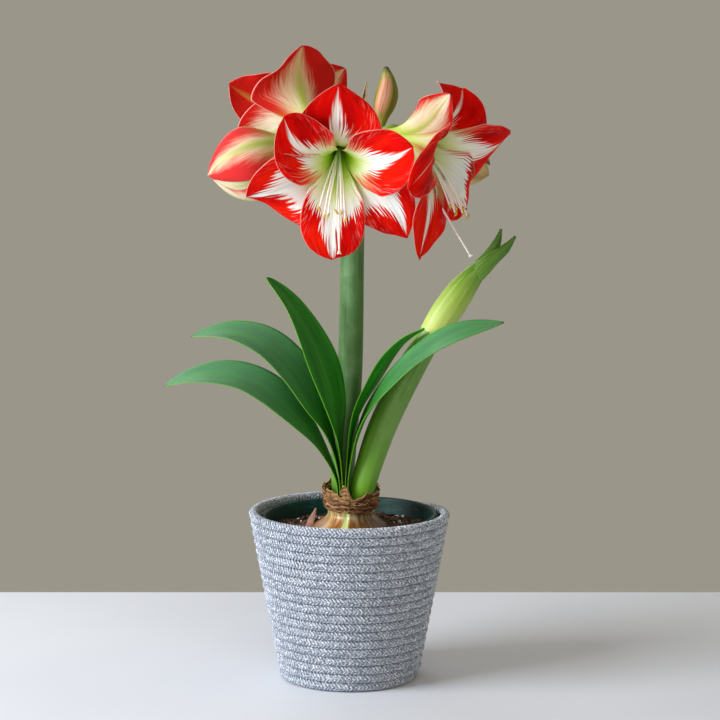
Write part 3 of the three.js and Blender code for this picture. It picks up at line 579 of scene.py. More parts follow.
# ---------------------------------------------------------------- the basket of coiled rope
ROPE_RADIUS = 4.0
ROPE_PITCH = COVER["height"] / COVER["rows"]
ROPE_LIFT = 0.25                # keeps the strands of the lowest row off the table
ROPE_START = -6.5               # turns of the floor's coil, before the wall starts
ROPE_END = radians(100)    # where the rope ends, at the back
FRONT_SHARE = 190 / 360         # from the rope's end round to the front, as a share of a turn
CHEVRON = 3.1                   # the braid repeats every 3.1 mm
RINGS_IN_CHEVRON = 3
LEAN_OF_STRANDS = 3.0           # how far a strand falls back along the rope, in mm for each radian round it
STRAND_BULGE = (-0.46, 0.14, 0.2)
WALL_LEAN = atan2(COVER["top_radius"] - COVER["bottom_radius"], COVER["height"])


def climb(turns):
    """Height of the rope's centre. Most of each row's climb is made at the back right."""
    row, share = divmod(turns, 1)
    risen = row + 0.4 * share + 0.6 * smooth(0, 0.3, share)
    at_front = 0.4 * FRONT_SHARE + 0.6
    return ROPE_PITCH * (0.5 + max(0, risen - at_front)) + ROPE_LIFT


def rope_centre(turns):
    """Distance of the rope's centre from the axis, and its height."""
    height = climb(turns)
    slope = (COVER["top_radius"] - COVER["bottom_radius"]) / COVER["height"]
    radius = COVER["bottom_radius"] + slope * height - ROPE_RADIUS
    return radius - ROPE_PITCH * max(0, FRONT_SHARE - turns), height


def rope_basket():
    """One rope, coiled from the middle of the floor outwards and then up the wall."""
    last = float(COVER["rows"])
    turns = [ROPE_START]
    while turns[-1] < last:
        radius, _ = rope_centre(turns[-1])
        step = CHEVRON / RINGS_IN_CHEVRON * (2 if turns[-1] < 0 else 1)
        turns.append(turns[-1] + step / (2 * pi * max(radius, 3)))
    rows = (len(turns) - 1) // RINGS_IN_CHEVRON * RINGS_IN_CHEVRON

    def place(turn, along):
        ring = round(along * rows)
        radius, _ = rope_centre(turns[ring])
        t = turns[ring] + LEAN_OF_STRANDS * abs(turn) / (2 * pi * max(radius, 8))
        radius, height = rope_centre(t)
        radial = around(ROPE_END - 2 * pi * t, 1)
        lean = WALL_LEAN * smooth(0, 1, t)
        outward = radial * cos(lean) - Vector((0, 0, sin(lean)))
        upward = radial * sin(lean) + Vector((0, 0, cos(lean)))
        spine = exp(-(turn / 0.3) ** 2) + exp(-((pi - abs(turn)) / 0.3) ** 2)
        tucked = smooth(last, last - 0.03, t) * smooth(ROPE_START - 0.01, ROPE_START + 0.1, t)
        size = (ROPE_RADIUS + STRAND_BULGE[ring % RINGS_IN_CHEVRON] - 0.22 * spine) * mix(0.3, 1, tucked)
        size += 0.12 * noise.noise(Vector((2.3 * t * radius / 9, cos(turn), sin(turn))))
        centre = radial * radius + Vector((0, 0, height - (1 - tucked) * 2 * smooth(5, 6, t)))
        return centre + outward * (size * cos(turn)) + upward * (size * 0.98 * sin(turn))

    bm = start_mesh()
    wrap_skin(bm, 10, rows, place)
    make_piece(bm, "rope_basket", "cover_pot", "rope", rope_material(rows / RINGS_IN_CHEVRON))


# ---------------------------------------------------------------- the nursery pot and its mix
GROW_LIFT = GROW["bottom_radius"] * sin(radians(GROW_TILT["lift"]))
GROW_POSE = (Matrix.Translation((*GROW_TILT["shift"], COVER_FLOOR + GAP + GROW_LIFT))
             @ Matrix.Rotation(radians(GROW_TILT["back_up"]), 4, "X")
             @ Matrix.Rotation(radians(-GROW_TILT["right_up"]), 4, "Y"))


def grow_radius(z, inset=0):
    return mix(GROW["bottom_radius"], GROW["top_radius"], z / GROW["height"]) - inset


def nursery_pot():
    """A tapered pot with a rolled rim."""
    height, wall, rim = GROW["height"], GROW["wall"], GROW["rim"]
    bottom, top, under = GROW["bottom_radius"], GROW["top_radius"], height - GROW["rim_height"]
    profile = [(0, 0), (bottom - 3, 0), (bottom - 0.8, 0.5), (bottom, 2),
               *[(grow_radius(z), z) for z in (10, 30, 60, 90, 110, under)],
               (grow_radius(under) + 0.8 * rim, under + 0.3), (grow_radius(under) + rim, under + 1),
               (top + rim, height - 1.2), (top + rim - 0.4, height - 0.3), (top + rim - 1, height),
               (top + 0.8 - wall, height), (top + 0.2 - wall, height - 0.6),
               *[(grow_radius(z, wall), z) for z in (height - 3, 110, 80, 50, 20, wall + 1)],
               (bottom - wall - 1, wall), (0, wall)]
    bm = start_mesh()
    wrap_skin(bm, 120, len(profile) - 1,
              lambda turn, along: GROW_POSE @ around(turn, *on_profile(profile, along)))
    make_piece(bm, "nursery_pot", "grow_pot", "pot_plastic", pot_plastic_material())


def soil_height(radius, turn):
    """The mix is heaped unevenly and sinks towards the pot's wall."""
    waves = 1.4 * (sin(3 * turn + 0.23 * radius) * cos(0.31 * radius - 2 * turn)
                   + 0.6 * sin(7 * turn + 0.5 * radius))
    spot = around(turn, radius)
    crumbs = 1.1 * noise.noise(spot / 4) + 0.7 * noise.noise(spot / 1.6)
    return SOIL_DEPTH + waves + crumbs - 1.5 * (radius / 66) ** 4


def potting_mix():
    """The peat: a smooth foot inside the pot and a crumbly top."""
    inset = GROW["wall"] + GAP
    walls = [(0, inset), (grow_radius(inset, inset) - 2, inset)]
    walls += [(grow_radius(z, inset), z) for z in (6, 40, 80, 112)]
    top_rows = 44
    rows = len(walls) + top_rows

    def place(turn, along):
        row = round(along * rows) - len(walls)
        if row < 0:
            return GROW_POSE @ around(turn, *walls[row])
        radius = grow_radius(SOIL_DEPTH, inset) * (1 - row / top_rows) ** 0.8
        return GROW_POSE @ around(turn, radius, soil_height(radius, turn))

    bm = start_mesh()
    wrap_skin(bm, 150, rows, place)
    make_piece(bm, "peat", "potting_mix", "potting_mix",
               earth_material("peat", "#0e0a07", "#2a1c13", "#4d3826", 1.6, 1.2))


SCATTER_RING = (33, 67.5)       # from the bulb to the pot's wall


def scatter(name, count, shape, material, seed):
    """Bits that lie on the mix, between the bulb and the pot's wall."""
    draw = random.Random(seed)
    bm = start_mesh()
    for _ in range(count):
        turn = draw.uniform(-pi, pi)
        radius = sqrt(draw.uniform(*[edge ** 2 for edge in SCATTER_RING]))
        spot = around(turn, radius, soil_height(radius, turn) + 0.4)
        lie = (Matrix.Rotation(draw.uniform(0, 6.3), 4, "Z") @ Matrix.Rotation(draw.gauss(0, 0.45), 4, "X")
               @ Matrix.Rotation(draw.gauss(0, 0.35), 4, "Y"))
        verts = shape(bm, draw)
        bmesh.ops.transform(bm, matrix=GROW_POSE @ Matrix.Translation(spot) @ lie, verts=verts)
    make_piece(bm, name, "potting_mix", "potting_mix", material)


def bark_chip(bm, draw):
    """A splinter of bark with broken corners."""
    length, width, height = draw.uniform(2, 9), draw.uniform(1.4, 4), draw.uniform(0.8, 2.4)
    first = len(bm.verts)
    corners = bmesh.ops.create_cube(bm, size=1)["verts"]
    edges = list({edge for vert in corners for edge in vert.link_edges})
    bmesh.ops.subdivide_edges(bm, edges=edges, cuts=1, use_grid_fill=True, smooth=0.35)
    bm.verts.ensure_lookup_table()
    verts = bm.verts[first:]
    for vert in verts:
        jitter = Vector([draw.uniform(-0.13, 0.13) for _ in range(3)])
        vert.co = (vert.co + jitter) * Vector((length, width, height))
    return verts


def perlite_bead(bm, draw):
    """A puffed white bead."""
    size = draw.uniform(0.7, 1.6)
    verts = bmesh.ops.create_icosphere(bm, subdivisions=2, radius=size)["verts"]
    for vert in verts:
        vert.co *= 1 + draw.uniform(-0.16, 0.16)
    return verts


# ---------------------------------------------------------------- the bulb and its dry scales
BULB_SPLIT = radians(-100)  # where the skin has split, a little left of the front


def bulb_radius(z):
    for (low_radius, low), (high_radius, high) in zip(BULB_PROFILE, BULB_PROFILE[1:]):
        if z <= high:
            return mix(low_radius, high_radius, max(0, z - low) / (high - low))
    return BULB_PROFILE[-1][0]


def bulb():
    """The bulb: a round body with a neck, slightly fluted, with its outer skin split in front."""
    outline = Path([(radius, 0, z) for radius, z in BULB_PROFILE])
    rows = 64
    spots = [(0, BULB_PROFILE[0][1])]
    spots += [(point.x, point.z) for point, _ in (outline.at(i / (rows - 2)) for i in range(rows - 1))]
    spots.append((0, BULB_PROFILE[-1][1]))

    def place(turn, along):
        radius, z = on_profile(spots, along)
        neck = smooth(120, 142, z)
        fluted = radius * (1 + 0.012 * sin(5 * turn + 1))
        if radius:
            off_split = remainder(turn - BULB_SPLIT, 2 * pi)
            fluted += 0.35 * noise.noise(around(turn, 9, z / 25))
            fluted -= 1.1 * exp(-(off_split / 0.06) ** 2)
        return Vector((NECK["offset"] * neck + fluted * cos(turn),
                       fluted * mix(1, NECK["stretch_back"], neck) * sin(turn), z))

    bm = start_mesh()
    wrap_skin(bm, 120, rows, place)
    make_piece(bm, "bulb_scales", "bulb", "bulb_skin", bulb_skin_material())


# Strips of dead scale round the neck: the bearings where a strip starts and ends, 0 being the right and
# -90 the front; the heights of its lower and upper edges on the way; how far it stands out, how far its
# upper edge flares and how bleached it is.
NECK_STRIPS = [
    ((-190, 190), [148, 147, 149, 148], [161, 157, 160, 161], 0.2, 0.6, 0.0),
    ((8, 172), [150, 149, 150, 152], [166, 164, 169, 165], 1.2, 1.6, 0.0),
    ((-212, -148), [150, 149, 149, 153], [162, 166, 166, 158], 0.6, 2.2, 0.0),
    ((-114, -86), [158, 157, 156, 155], [163, 171, 168, 160], -0.6, 0.4, 0.35),
    ((-176, -60), [155, 152, 148, 146.5], [166, 161, 156, 154], 1.1, 0.8, 0.0),
    ((-150, -92), [158, 156, 153, 151], [167, 165, 162, 158], 0.9, 1.0, 0.25),
    ((-88, 24), [150, 149, 149.5, 151], [157, 163, 162, 161], 1.0, 1.2, 0.0),
    ((-96, 14), [146.5, 146, 147, 149], [153, 155.5, 156, 154], 1.7, 0.9, 0.0),
]


def neck_strip(bm, seed, turns, lower, upper, out, flare, paled):
    """A strip of dead scale that runs round the neck, rolled, crumpled and torn."""
    first, last = (radians(turn) for turn in turns)
    rows = round(abs(last - first) * 26)

    def place(across, along):
        turn = mix(first, last, along)
        circle = around(turn, 1, 2.7 * seed)
        share = (across + 1) / 2
        low = keyed(lower, along) + 1.2 * noise.noise(circle * 5)
        top = keyed(upper, along) + 2.4 * noise.noise(circle * 4.3) + 1.5 * noise.noise(circle * 14)
        z = mix(low, top, share)
        rolls = sin(1.7 * z + 4 * noise.noise(circle * 2.2) + 2 * turn)
        crumple = noise.noise(Vector((7 * circle.x, 7 * circle.y, z / 2.4 + seed)))
        curl = flare * share ** 3 * (0.7 + noise.noise(circle * 3))
        radius = bulb_radius(z) + 0.8 + out + 0.75 * rolls + 1.1 * crumple + curl
        return Vector((NECK["offset"] + radius * cos(turn),
                       radius * NECK["stretch_back"] * sin(turn), z))

    lay_sheet(bm, 22, rows, place, seed=float(seed), paled=paled,
              thick=lambda across, along: 1 - 0.5 * across ** 2)


def dry_tunic():
    """The dead scales round the neck: strips that overlap."""
    bm = start_mesh()
    for seed, strip in enumerate(NECK_STRIPS):
        neck_strip(bm, seed, *strip)
    dry = dry_scale_material("dry_bulb_scale", "#200c06", "#683a1c", "#cfa468")
    thicken(make_piece(bm, "dry_neck_scales", "bulb_tunic", "dry_tunic", dry), 0.6, 0.4)


def thinner_edges(across, along):
    return 1 - 0.5 * abs(across)


def cast_off_scale():
    """A cast-off scale of the bulb that stands in the mix on the left."""
    half_widths = [2.6, 3.4, 3.6, 3.1, 2, 0.4]

    def place(across, along):
        bulge = 1 - across ** 2 + 0.3 * sin(3 * along) * across
        bulge += 0.3 * noise.noise(Vector((across, 5 * along, 0)))
        return (Vector((-38 + 9.5 * along, -21 + 5 * along, 126 + 24 * along))
                + Vector((0.86, -0.3, 0.1)) * across * keyed(half_widths, along)
                + Vector((0.2, -0.9, 0)) * bulge)

    bm = start_mesh()
    lay_sheet(bm, 10, 24, place, seed=5.0, thick=thinner_edges)
    dry = dry_scale_material("dry_cast_off_scale", "#5b352c", "#9a6a58", "#cfa58c")
    thicken(make_piece(bm, "cast_off_scale", "loose_scale", "dry_tunic", dry), 0.9, 0.4)


def withered_sheath():
    """What is left of the tall stalk's own sheath."""
    half_widths = [4.5, 5, 4.8, 4, 2.8, 1.6, 0.4]
    path = Path([(4.6, 13.75, 445), (5, 14.1, 453), (7.4, 17, 470), (11.4, 18.5, 491), (14.6, 17.5, 511)])

    def place(across, along):
        point, _ = path.at(along)
        crumple = 1.3 * noise.noise(Vector((2 * across, 9 * along, 0))) * along
        sideways = Vector((0.95, 0.2 * sin(5 * along), -0.2))
        return (point + sideways * across * keyed(half_widths, along)
                + Vector((0, 1.4 * (1 - across ** 2) + crumple, 0)))

    bm = start_mesh()
    lay_sheet(bm, 12, 48, place, seed=7.0, thick=thinner_edges)
    dry = dry_scale_material("dry_sheath", "#4f5a2c", "#8c7a4a", "#c9ae86")
    thicken(make_piece(bm, "withered_sheath", "withered_bract", "withered_bract", dry), 0.8, 0.4)


# ---------------------------------------------------------------- leaves
LEAF_SHAPE = {"base": 8.5, "peak": 0.55, "round_": 2.2, "blunt": 0.62}
LEAF_TIP = 0.25                 # half the width of a leaf's very end
LEAVES = {
    "leaf_left_low": {
        "path": [(-9.6, -10, 148), (-10.4, -10.5, 172), (-19.5, -14, 194), (-40, -20, 223.5), (-65, -24, 249),
                 (-92, -25, 263), (-124, -24, 265.5), (-157, -22, 256)],
        "roll": [0, -4, -12, -24, -32, -27, -21, -15], "wide": 21, "paled": 0.6, "side": -1},
    "leaf_left_mid": {
        "path": [(-7.7, -10, 148), (-8.2, -10.5, 174), (-14, -15, 201), (-28.5, -15, 234), (-46, -15, 266),
                 (-70, -14, 290), (-100, -10, 300.5), (-135, -6, 296)],
        "roll": [0, -3, -8, -26, -34, -30, -23, -15], "wide": 22, "paled": 0.6, "side": -1},
    "leaf_left_upper": {
        "path": [(-5.8, -10, 148), (-6, -11, 174), (-9, -17, 205), (-12.5, -22, 233), (-20.5, -24, 264),
                 (-32.5, -24, 295), (-48.5, -22, 324), (-70, -18, 348)],
        "roll": [0, -1, -8, -26, -34, -31, -25, -18], "wide": 21, "paled": 0.1, "side": -1},
    "leaf_right_thin": {
        "path": [(-3.9, -10, 148), (-3.2, -11.5, 174), (0.6, -15, 204), (7, -16, 230), (19, -15, 254),
                 (32, -14.5, 276), (46, -16, 293), (63.5, -18, 304.5)],
        "roll": [0, 0, -1, -12, -25, -29, -28, -26], "wide": 12, "paled": 0.1, "side": 1},
    "leaf_right_long": {
        "path": [(-2, -10, 148), (-0.9, -11, 176), (5.4, -17, 206), (15, -25.5, 232), (31, -34, 256),
                 (54, -37, 280), (88, -34, 301), (130, -28, 311)],
        "roll": [0, 0, 0, 4, 13, 20, 25, 22], "wide": 18, "paled": 0.5, "side": 1},
}


def leaf(name, values, seed, material):
    """A strap leaf: a shallow channel with a groove along its midrib and slightly waved edges."""
    path = Path(values["path"])
    rows = 84

    @functools.lru_cache(maxsize=None)
    def row_at(row):
        s = row / rows
        centre, along = path.at(s)
        back = Vector((0, 1, 0))
        back = (back - along * back.dot(along)).normalized()
        across = turned(back, along, radians(keyed(values["roll"], s)))
        upper = along.cross(across) * values["side"]
        half = blade_width(s, wide=values["wide"], **LEAF_SHAPE) if row < rows else LEAF_TIP
        return centre, across, upper, half

    def place(v, along):
        centre, across, upper, half = row_at(round(along * rows))
        lift = 0.16 * half * v * v * smooth(0.1, 0.35, along)
        lift += 0.5 * v * v * sin(16 * along + 2 * v + seed) * smooth(0.25, 0.6, along)
        lift -= 0.5 * exp(-(v / 0.12) ** 2) * (1 - along)
        return centre + across * (v * half) + upper * lift

    bm = start_mesh()
    lay_sheet(bm, 16, rows, place, seed=seed, paled=values["paled"],
              thick=lambda v, along: 1 - 0.75 * abs(v) ** 3)
    thicken(make_piece(bm, name + "_blade", name, "leaf_green", material), LEAF_THICKNESS, 0.25)


# ---------------------------------------------------------------- blooms and buds
TEPAL_SHAPES = {
    "outer": {"base": 6, "wide": 32, "peak": 0.56, "round_": 1.7, "blunt": 0.8, "start": (4.6, 1.5)},
    "inner": {"base": 5, "wide": 26, "peak": 0.58, "round_": 2.3, "blunt": 0.66, "start": (3.3, 5)},
}
# what a tepal is unless its flower or its own line says otherwise. bends is how far it leans out on its way,
# wrap how far it follows the ring, curl how it rolls up on top of that
TEPAL = {"width": 1, "reach": 1, "sway": 0, "twist": 0, "twisted_by": (0.25, 1), "wave": 2, "star": 1.0,
         "flush": 0.0, "lopsided": 0.0}
THIRD_OF_RING = 0.98 * pi / 3
LEAST_CURVE = radians(0.5)  # a tepal is never laid quite flat, as its arc would have no centre
OPEN = {"bends": [6, 12, 26, 46, 64, 80, 92], "wrap": [1, 1, 1, 0.8, 0.45, 0.15, 0],
        "curl": [0, 0, 0, 0, 2, -2, -8]}
UPRIGHT_BENDS = [6, 8, 20, 40, 54, 56, 54]
FLATTER = [1, 1, 0.9, 0.6, 0.3, 0.1, 0]
OPENED = [1, 1, 0.95, 0.85, 0.65, 0.45, 0.2]
ROUNDED = {"round_": 2.3, "blunt": 0.66}
POINTED = {"round_": 1.7, "blunt": 0.8}
SHUT = {"wrap": [1, 1], "curl": [0, 0], "wave": 0.4}
LEFT_BUD = {**SHUT, "bends": [14, 38, 38, 12, -18, -44, -60], "peak": 0.5, "round_": 2.2, "blunt": 0.7}
REAR_BUD = {**SHUT, "bends": [16, 38, 32, 6, -18, -40, -54]}

# A tepal's line: outer or inner, its bearing in the ring, its length, how far it is spread, and the rest.
# Threads: how far they reach and droop, and how far each stands to the side. The style has its own length,
# its own drop and how limp it is.
FLOWERS = {
    "front": {
        "base": (-8, -26, 461), "axis": (0, -0.945, -0.33), "form": OPEN,
        "tepals": [
            ("outer", 6, 108, 12, {"width": 1.28, "twist": 6, "sway": -6}),
            ("outer", 108, 113, 20, {"width": 1.3, "twist": -26, "star": 2.0}),
            ("outer", 255, 116, 16, {"twist": 8, "sway": -32, "star": 1.9}),
            ("inner", 65, 108, -7, {"width": 1.08, "twist": 12, "sway": -26}),
            ("inner", 169, 112, 11, {"width": 1.04, "twist": -2, "sway": 7, "star": 2.0, "round_": 2.6,
                                    "blunt": 0.55, "peak": 0.64}),
            ("inner", 288, 110, -16, {"width": 1.2, "twist": -5, "sway": 10}),
        ],
        "stamens": {"reach": 80, "droop": 32, "sides": [16, 9, 12, 2, -2, -5], "style": (85, 60, 1)},
    },
    "back": {
        "base": (-24.5, 12, 464.5), "axis": (-0.36, 0.866, 0.343), "form": OPEN,
        "tepals": [
            ("outer", -14, 90, 8, {"width": 1.34, "reach": 1.6, "wrap": FLATTER, "twist": 18, "sway": 9,
                                   "lopsided": -0.3, "flush": 0.3, "wave": 4}),
            ("outer", -130, 94, -9, {**ROUNDED, "reach": 1.4, "wrap": FLATTER, "twist": 6, "sway": -4}),
            ("outer", 106, 92, 2, {"sway": 6}),
            ("inner", -84, 100, 0, {**POINTED, "width": 1.16, "twist": -10, "sway": 14, "flush": 0.75}),
            ("inner", 50, 88, -12, {**POINTED, "width": 1.2, "twist": -10, "flush": 0.3}),
            ("inner", 168, 90, 2, {}),
        ],
        "stamens": {"reach": 78, "droop": 26, "sides": [15, 9, 4, -4, -9, -15], "style": (92, 40, 1)},
    },
    "right": {
        "base": (22, -10, 468.5), "axis": (0.875, -0.428, -0.2), "form": OPEN,
        "tepals": [
            ("outer", 30, 88, 2, {"width": 0.62, "base": 12, "peak": 0.62, "reach": 1.7, "twist": 80,
                                  "twisted_by": (0, 0.4), "sway": -10,
                                  "bends": UPRIGHT_BENDS, "wrap": OPENED, "flush": -0.05}),
            ("inner", -46, 99, 23, {"width": 1.35, "reach": 0.75, "twist": -42, "star": 0.6, "flush": 0.8,
                                   "round_": 2.8, "blunt": 0.5, "curl": [0, 0]}),
            ("outer", -105, 128, -6, {"width": 1.13, "twist": 36, "sway": 26, "star": 1.4}),
            ("inner", 80, 132, 9, {"width": 1.1, "sway": 26, "star": -0.4}),
            ("outer", 134, 134, 20, {"width": 1.04, "twist": 4, "sway": 42, "star": 0.8}),
            ("inner", -150, 114, 6, {"width": 1.2, "sway": 18, "star": 2.8}),
        ],
        "stamens": {"reach": 91, "droop": 49, "sides": [7, 3, -2, -6, -10, -13], "style": (105, 79, 2)},
    },
}
BUDS = {
    "left": {
        "base": (-34, -6, 461.5), "axis": (-0.93, -0.12, -0.34), "form": LEFT_BUD,
        "tepals": [("outer", turn, 106, spread, {"width": 0.9, "flush": flush})
                   for turn, spread, flush in ((60, -2, 0.4), (180, -9, 0.05), (300, 0, 0.54))]
        + [("inner", turn, 96, spread, {"width": 0.86, "flush": flush})
           for turn, spread, flush in ((0, -1, 0.3), (120, -3, 0), (240, -1, 0.2))],
    },
    "rear": {
        "base": (48, 22, 464), "axis": (0.87, 0.36, -0.38), "form": REAR_BUD,
        "tepals": [("outer", turn, 95, 0, {"width": 0.92}) for turn in (0, 120, 240)]
        + [("inner", turn, 86, -5, {"width": 0.92}) for turn in (60, 180, 300)],
    },
}


class FlowerFrame:
    """Directions of a flower: out of its mouth, up across the mouth, and to the side."""

    def __init__(self, flower):
        self.base = Vector(flower["base"])
        self.out = Vector(flower["axis"]).normalized()
        up = Vector((0, 0, 1))
        self.up = (up - self.out * up.dot(self.out)).normalized()
        self.side = self.out.cross(self.up)

    def place(self, along, down, side):
        return self.base + self.out * along - self.up * down + self.side * side

    def ring(self, radius, along, turn):
        return self.place(along, -radius * cos(turn), radius * sin(turn))


def midrib(tepal, rows, fine=6):
    """The midrib as distances from the axis and along it, with its lean, at equal steps."""
    radius, along = TEPAL_SHAPES[tepal["kind"]]["start"]
    step = tepal["length"] / (rows * fine)
    stations = []
    for i in range(rows * fine + 1):
        s = i / (rows * fine)
        lean = radians(keyed(tepal["bends"], s) + tepal["spread"] * smooth(0.2, 0.9, s))
        if i % fine == 0:
            stations.append((radius, along, lean))
        radius += sin(lean) * step
        along += cos(lean) * step
    return stations


def lay_tepal(bm, axes, tepal, rows, columns):
    """One tepal: rows across a curved midrib, each an arc that follows the ring, with waved edges."""
    shape = {key: tepal.get(key, usual) for key, usual in TEPAL_SHAPES[tepal["kind"]].items()
             if key != "start"}
    shape["wide"] *= tepal["width"]
    stations = midrib(tepal, rows)
    wave, phase = tepal["wave"], tepal["phase"]

    @functools.lru_cache(maxsize=None)
    def row_at(row):
        s = row / rows
        radius, along, lean = stations[row]
        turn = radians(tepal["azimuth"] + tepal["sway"] * s * s)
        outward = axes.up * cos(turn) + axes.side * sin(turn)
        centre = axes.base + axes.out * along + outward * radius
        rib = axes.out * cos(lean) + outward * sin(lean)
        inward = axes.out * sin(lean) - outward * cos(lean)
        roll = radians(tepal["twist"] * smooth(*tepal["twisted_by"], s))
        across = turned(rib.cross(inward), rib, roll)
        inward = turned(inward, rib, roll)
        half = min(blade_width(s, **shape), THIRD_OF_RING * tepal["reach"] * radius)
        angle = keyed(tepal["wrap"], s) * half / radius + radians(keyed(tepal["curl"], s))
        if abs(angle) < LEAST_CURVE:
            angle = copysign(LEAST_CURVE, angle or 1)
        return centre, across, inward, half, angle

    def place(v, s):
        centre, across, inward, half, angle = row_at(round(s * rows))
        edge = wave * v * v
        ruffle = edge * smooth(0.3, 0.6, s) * sin(2 * pi * (1.8 * s + 0.25 * v) + phase)
        frill = 0.35 * edge * abs(v) * smooth(0.35, 0.7, s) * sin(31 * s + 4 * v + 3 * phase)
        keel = -0.9 * exp(-(v / 0.09) ** 2) * smooth(0, 0.15, s) * (1 - 0.5 * s)
        veins = 0.1 * sin(26 * v + 2 * sin(5 * s)) * smooth(0.1, 0.3, s)
        return (centre + across * (half * sin(v * angle) / angle)
                + inward * (half * (1 - cos(v * angle)) / angle + ruffle + frill + keel + veins))

    lay_sheet(bm, columns, rows, place, seed=phase + axes.base.x,
              **{mark: tepal[mark] for mark in ("star", "flush", "lopsided")},
              thick=lambda v, s: (1 - 0.7 * abs(v) ** 3) * (1 - 0.4 * s))


def bloom(name, flower, slot, materials, rows=64, columns=32):
    """The six tepals of a bloom or a bud, as one piece with its own material inside and outside."""
    bm = start_mesh()
    for i, (kind, azimuth, length, spread, extra) in enumerate(flower["tepals"]):
        tepal = {**TEPAL, "kind": kind, "azimuth": azimuth, "length": length, "spread": spread,
                 "phase": 1.7 * i, **flower["form"], **extra}
        lay_tepal(bm, FlowerFrame(flower), tepal, rows, columns)
    thicken(make_piece(bm, name + "_tepals", name, slot, *materials), TEPAL_THICKNESS, 0.35, two_sided=True)


THREAD_RADIUS = 0.9
STYLE_RADIUS = 0.95


def stamens_and_style(name, flower, node):
    """Six threads with yellow anthers, and the longer style with its three-lobed end."""
    axes = FlowerFrame(flower)
    reach, droop = flower["stamens"]["reach"], flower["stamens"]["droop"]
    bm = start_mesh()

    def thread(length, down, side, sink, radius, limp=0, **marks):
        shares = [(0.3, 0.03 + 0.04 * limp, 0.12), (0.52, 0.13 + 0.12 * limp, 0.32),
                  (0.7, 0.33 + 0.14 * limp, 0.55), (0.86, 0.64 + 0.09 * limp, 0.8), (1, 1, 1)]
        points = [axes.place(4, sink * 0.6, 0), axes.place(8.2, sink, 0.08 * side)]
        points += [axes.place(a * length, fall * down + sink, spread * side) for a, fall, spread in shares]
        stem_skin(bm, points, [radius, radius, 0.8 * radius], sides=10, rows=36, **marks)
        return points[-1] - points[-2]

    for i, side in enumerate(flower["stamens"]["sides"]):
        share = 0.9 + 0.05 * (i % 3)
        sink = 1.5 if i % 2 else -1.5
        thread(share * reach, share * droop, side, sink, THREAD_RADIUS, seed=float(i))
        tip = axes.place(share * reach, share * droop + sink, side)
        lean = axes.up * 2.6 + axes.side * (1.8 * sin(2 + 1.9 * i))
        stem_skin(bm, [tip - lean, tip + axes.out * 0.8, tip + lean], [0.2, 0.9, 1.1, 0.9, 0.2], sides=12,
                  rows=14, section=lambda turn, along: 1 - 0.16 * cos(2 * turn) ** 4, material=1)
    length, down, limp = flower["stamens"]["style"]
    ahead = thread(length, down, 0, 0, STYLE_RADIUS, limp=limp, seed=9.0).normalized()
    tip = axes.place(length, down, 0)
    for lobe in range(3):
        outward = turned(axes.side, ahead, lobe * 2 * pi / 3 + 0.5)
        outward = (outward - ahead * outward.dot(ahead)).normalized()
        bent = [tip - ahead, tip + ahead * 1.1 + outward * 0.6, tip + ahead * 1.8 + outward * 2.2]
        stem_skin(bm, bent, [0.9, 0.9, 0.15], sides=8, rows=8, seed=9.0)
    make_piece(bm, name, node, "stamen", filament_material(), pollen_material())


# ---------------------------------------------------------------- flower stalks
TALL_SCAPE = [(-6.5, 11, 147), (-6.4, 10.5, 160), (-5.5, 9.6, 185), (-3.2, 8.6, 215), (0, 7.6, 257),
              (1.7, 6.4, 310), (2.6, 5, 364), (3.9, 3.4, 411), UMBEL]
TALL_RADII = [8, 10.3, 10.7, 10.8, 10.6, 10.3, 10, 9.8, 9.8, 10.4]
LEANING_SCAPE = [(9.4, -7, 147), (10.1, -7, 158), (13, -6.8, 172), (18.2, -6.2, 190), (26, -5.4, 213),
                 (37, -4.4, 238), (50, -3.4, 264), (64, -2.4, 289), (73.6, -2, 303)]
LEANING_RADII = [8, 10.6, 11.4, 12, 12.2, 12.2, 12, 11.4, 10.6]
CLOSED_BUD = [(26.5, 21, 472.5), (28.5, 21.5, 483), (31.5, 22, 498), (32.5, 22, 512), (31, 21.5, 524)]


def closed_bud():
    """A closed bud: its six folded tepals meet in soft creases, and it bends a little to one side."""
    path = Path(CLOSED_BUD)
    radii = [3.6, 5.4, 8.6, 10, 9.6, 7.6, 5, 1.8]

    def place(turn, along):
        centre, _ = path.at(along)
        crease = 1 - 0.09 * (1 - abs(sin(3 * turn))) ** 3
        radius = keyed(radii, along) * crease if 0 < along < 1 else 0
        spun = turn + 0.5 * along
        return Vector((centre.x + radius * cos(spun), centre.y + radius * sin(spun), centre.z))

    bm = start_mesh()
    wrap_skin(bm, 72, 60, place, seed=3.0)
    make_piece(bm, "young_bud", "closed_bud", "closed_bud", closed_bud_material())


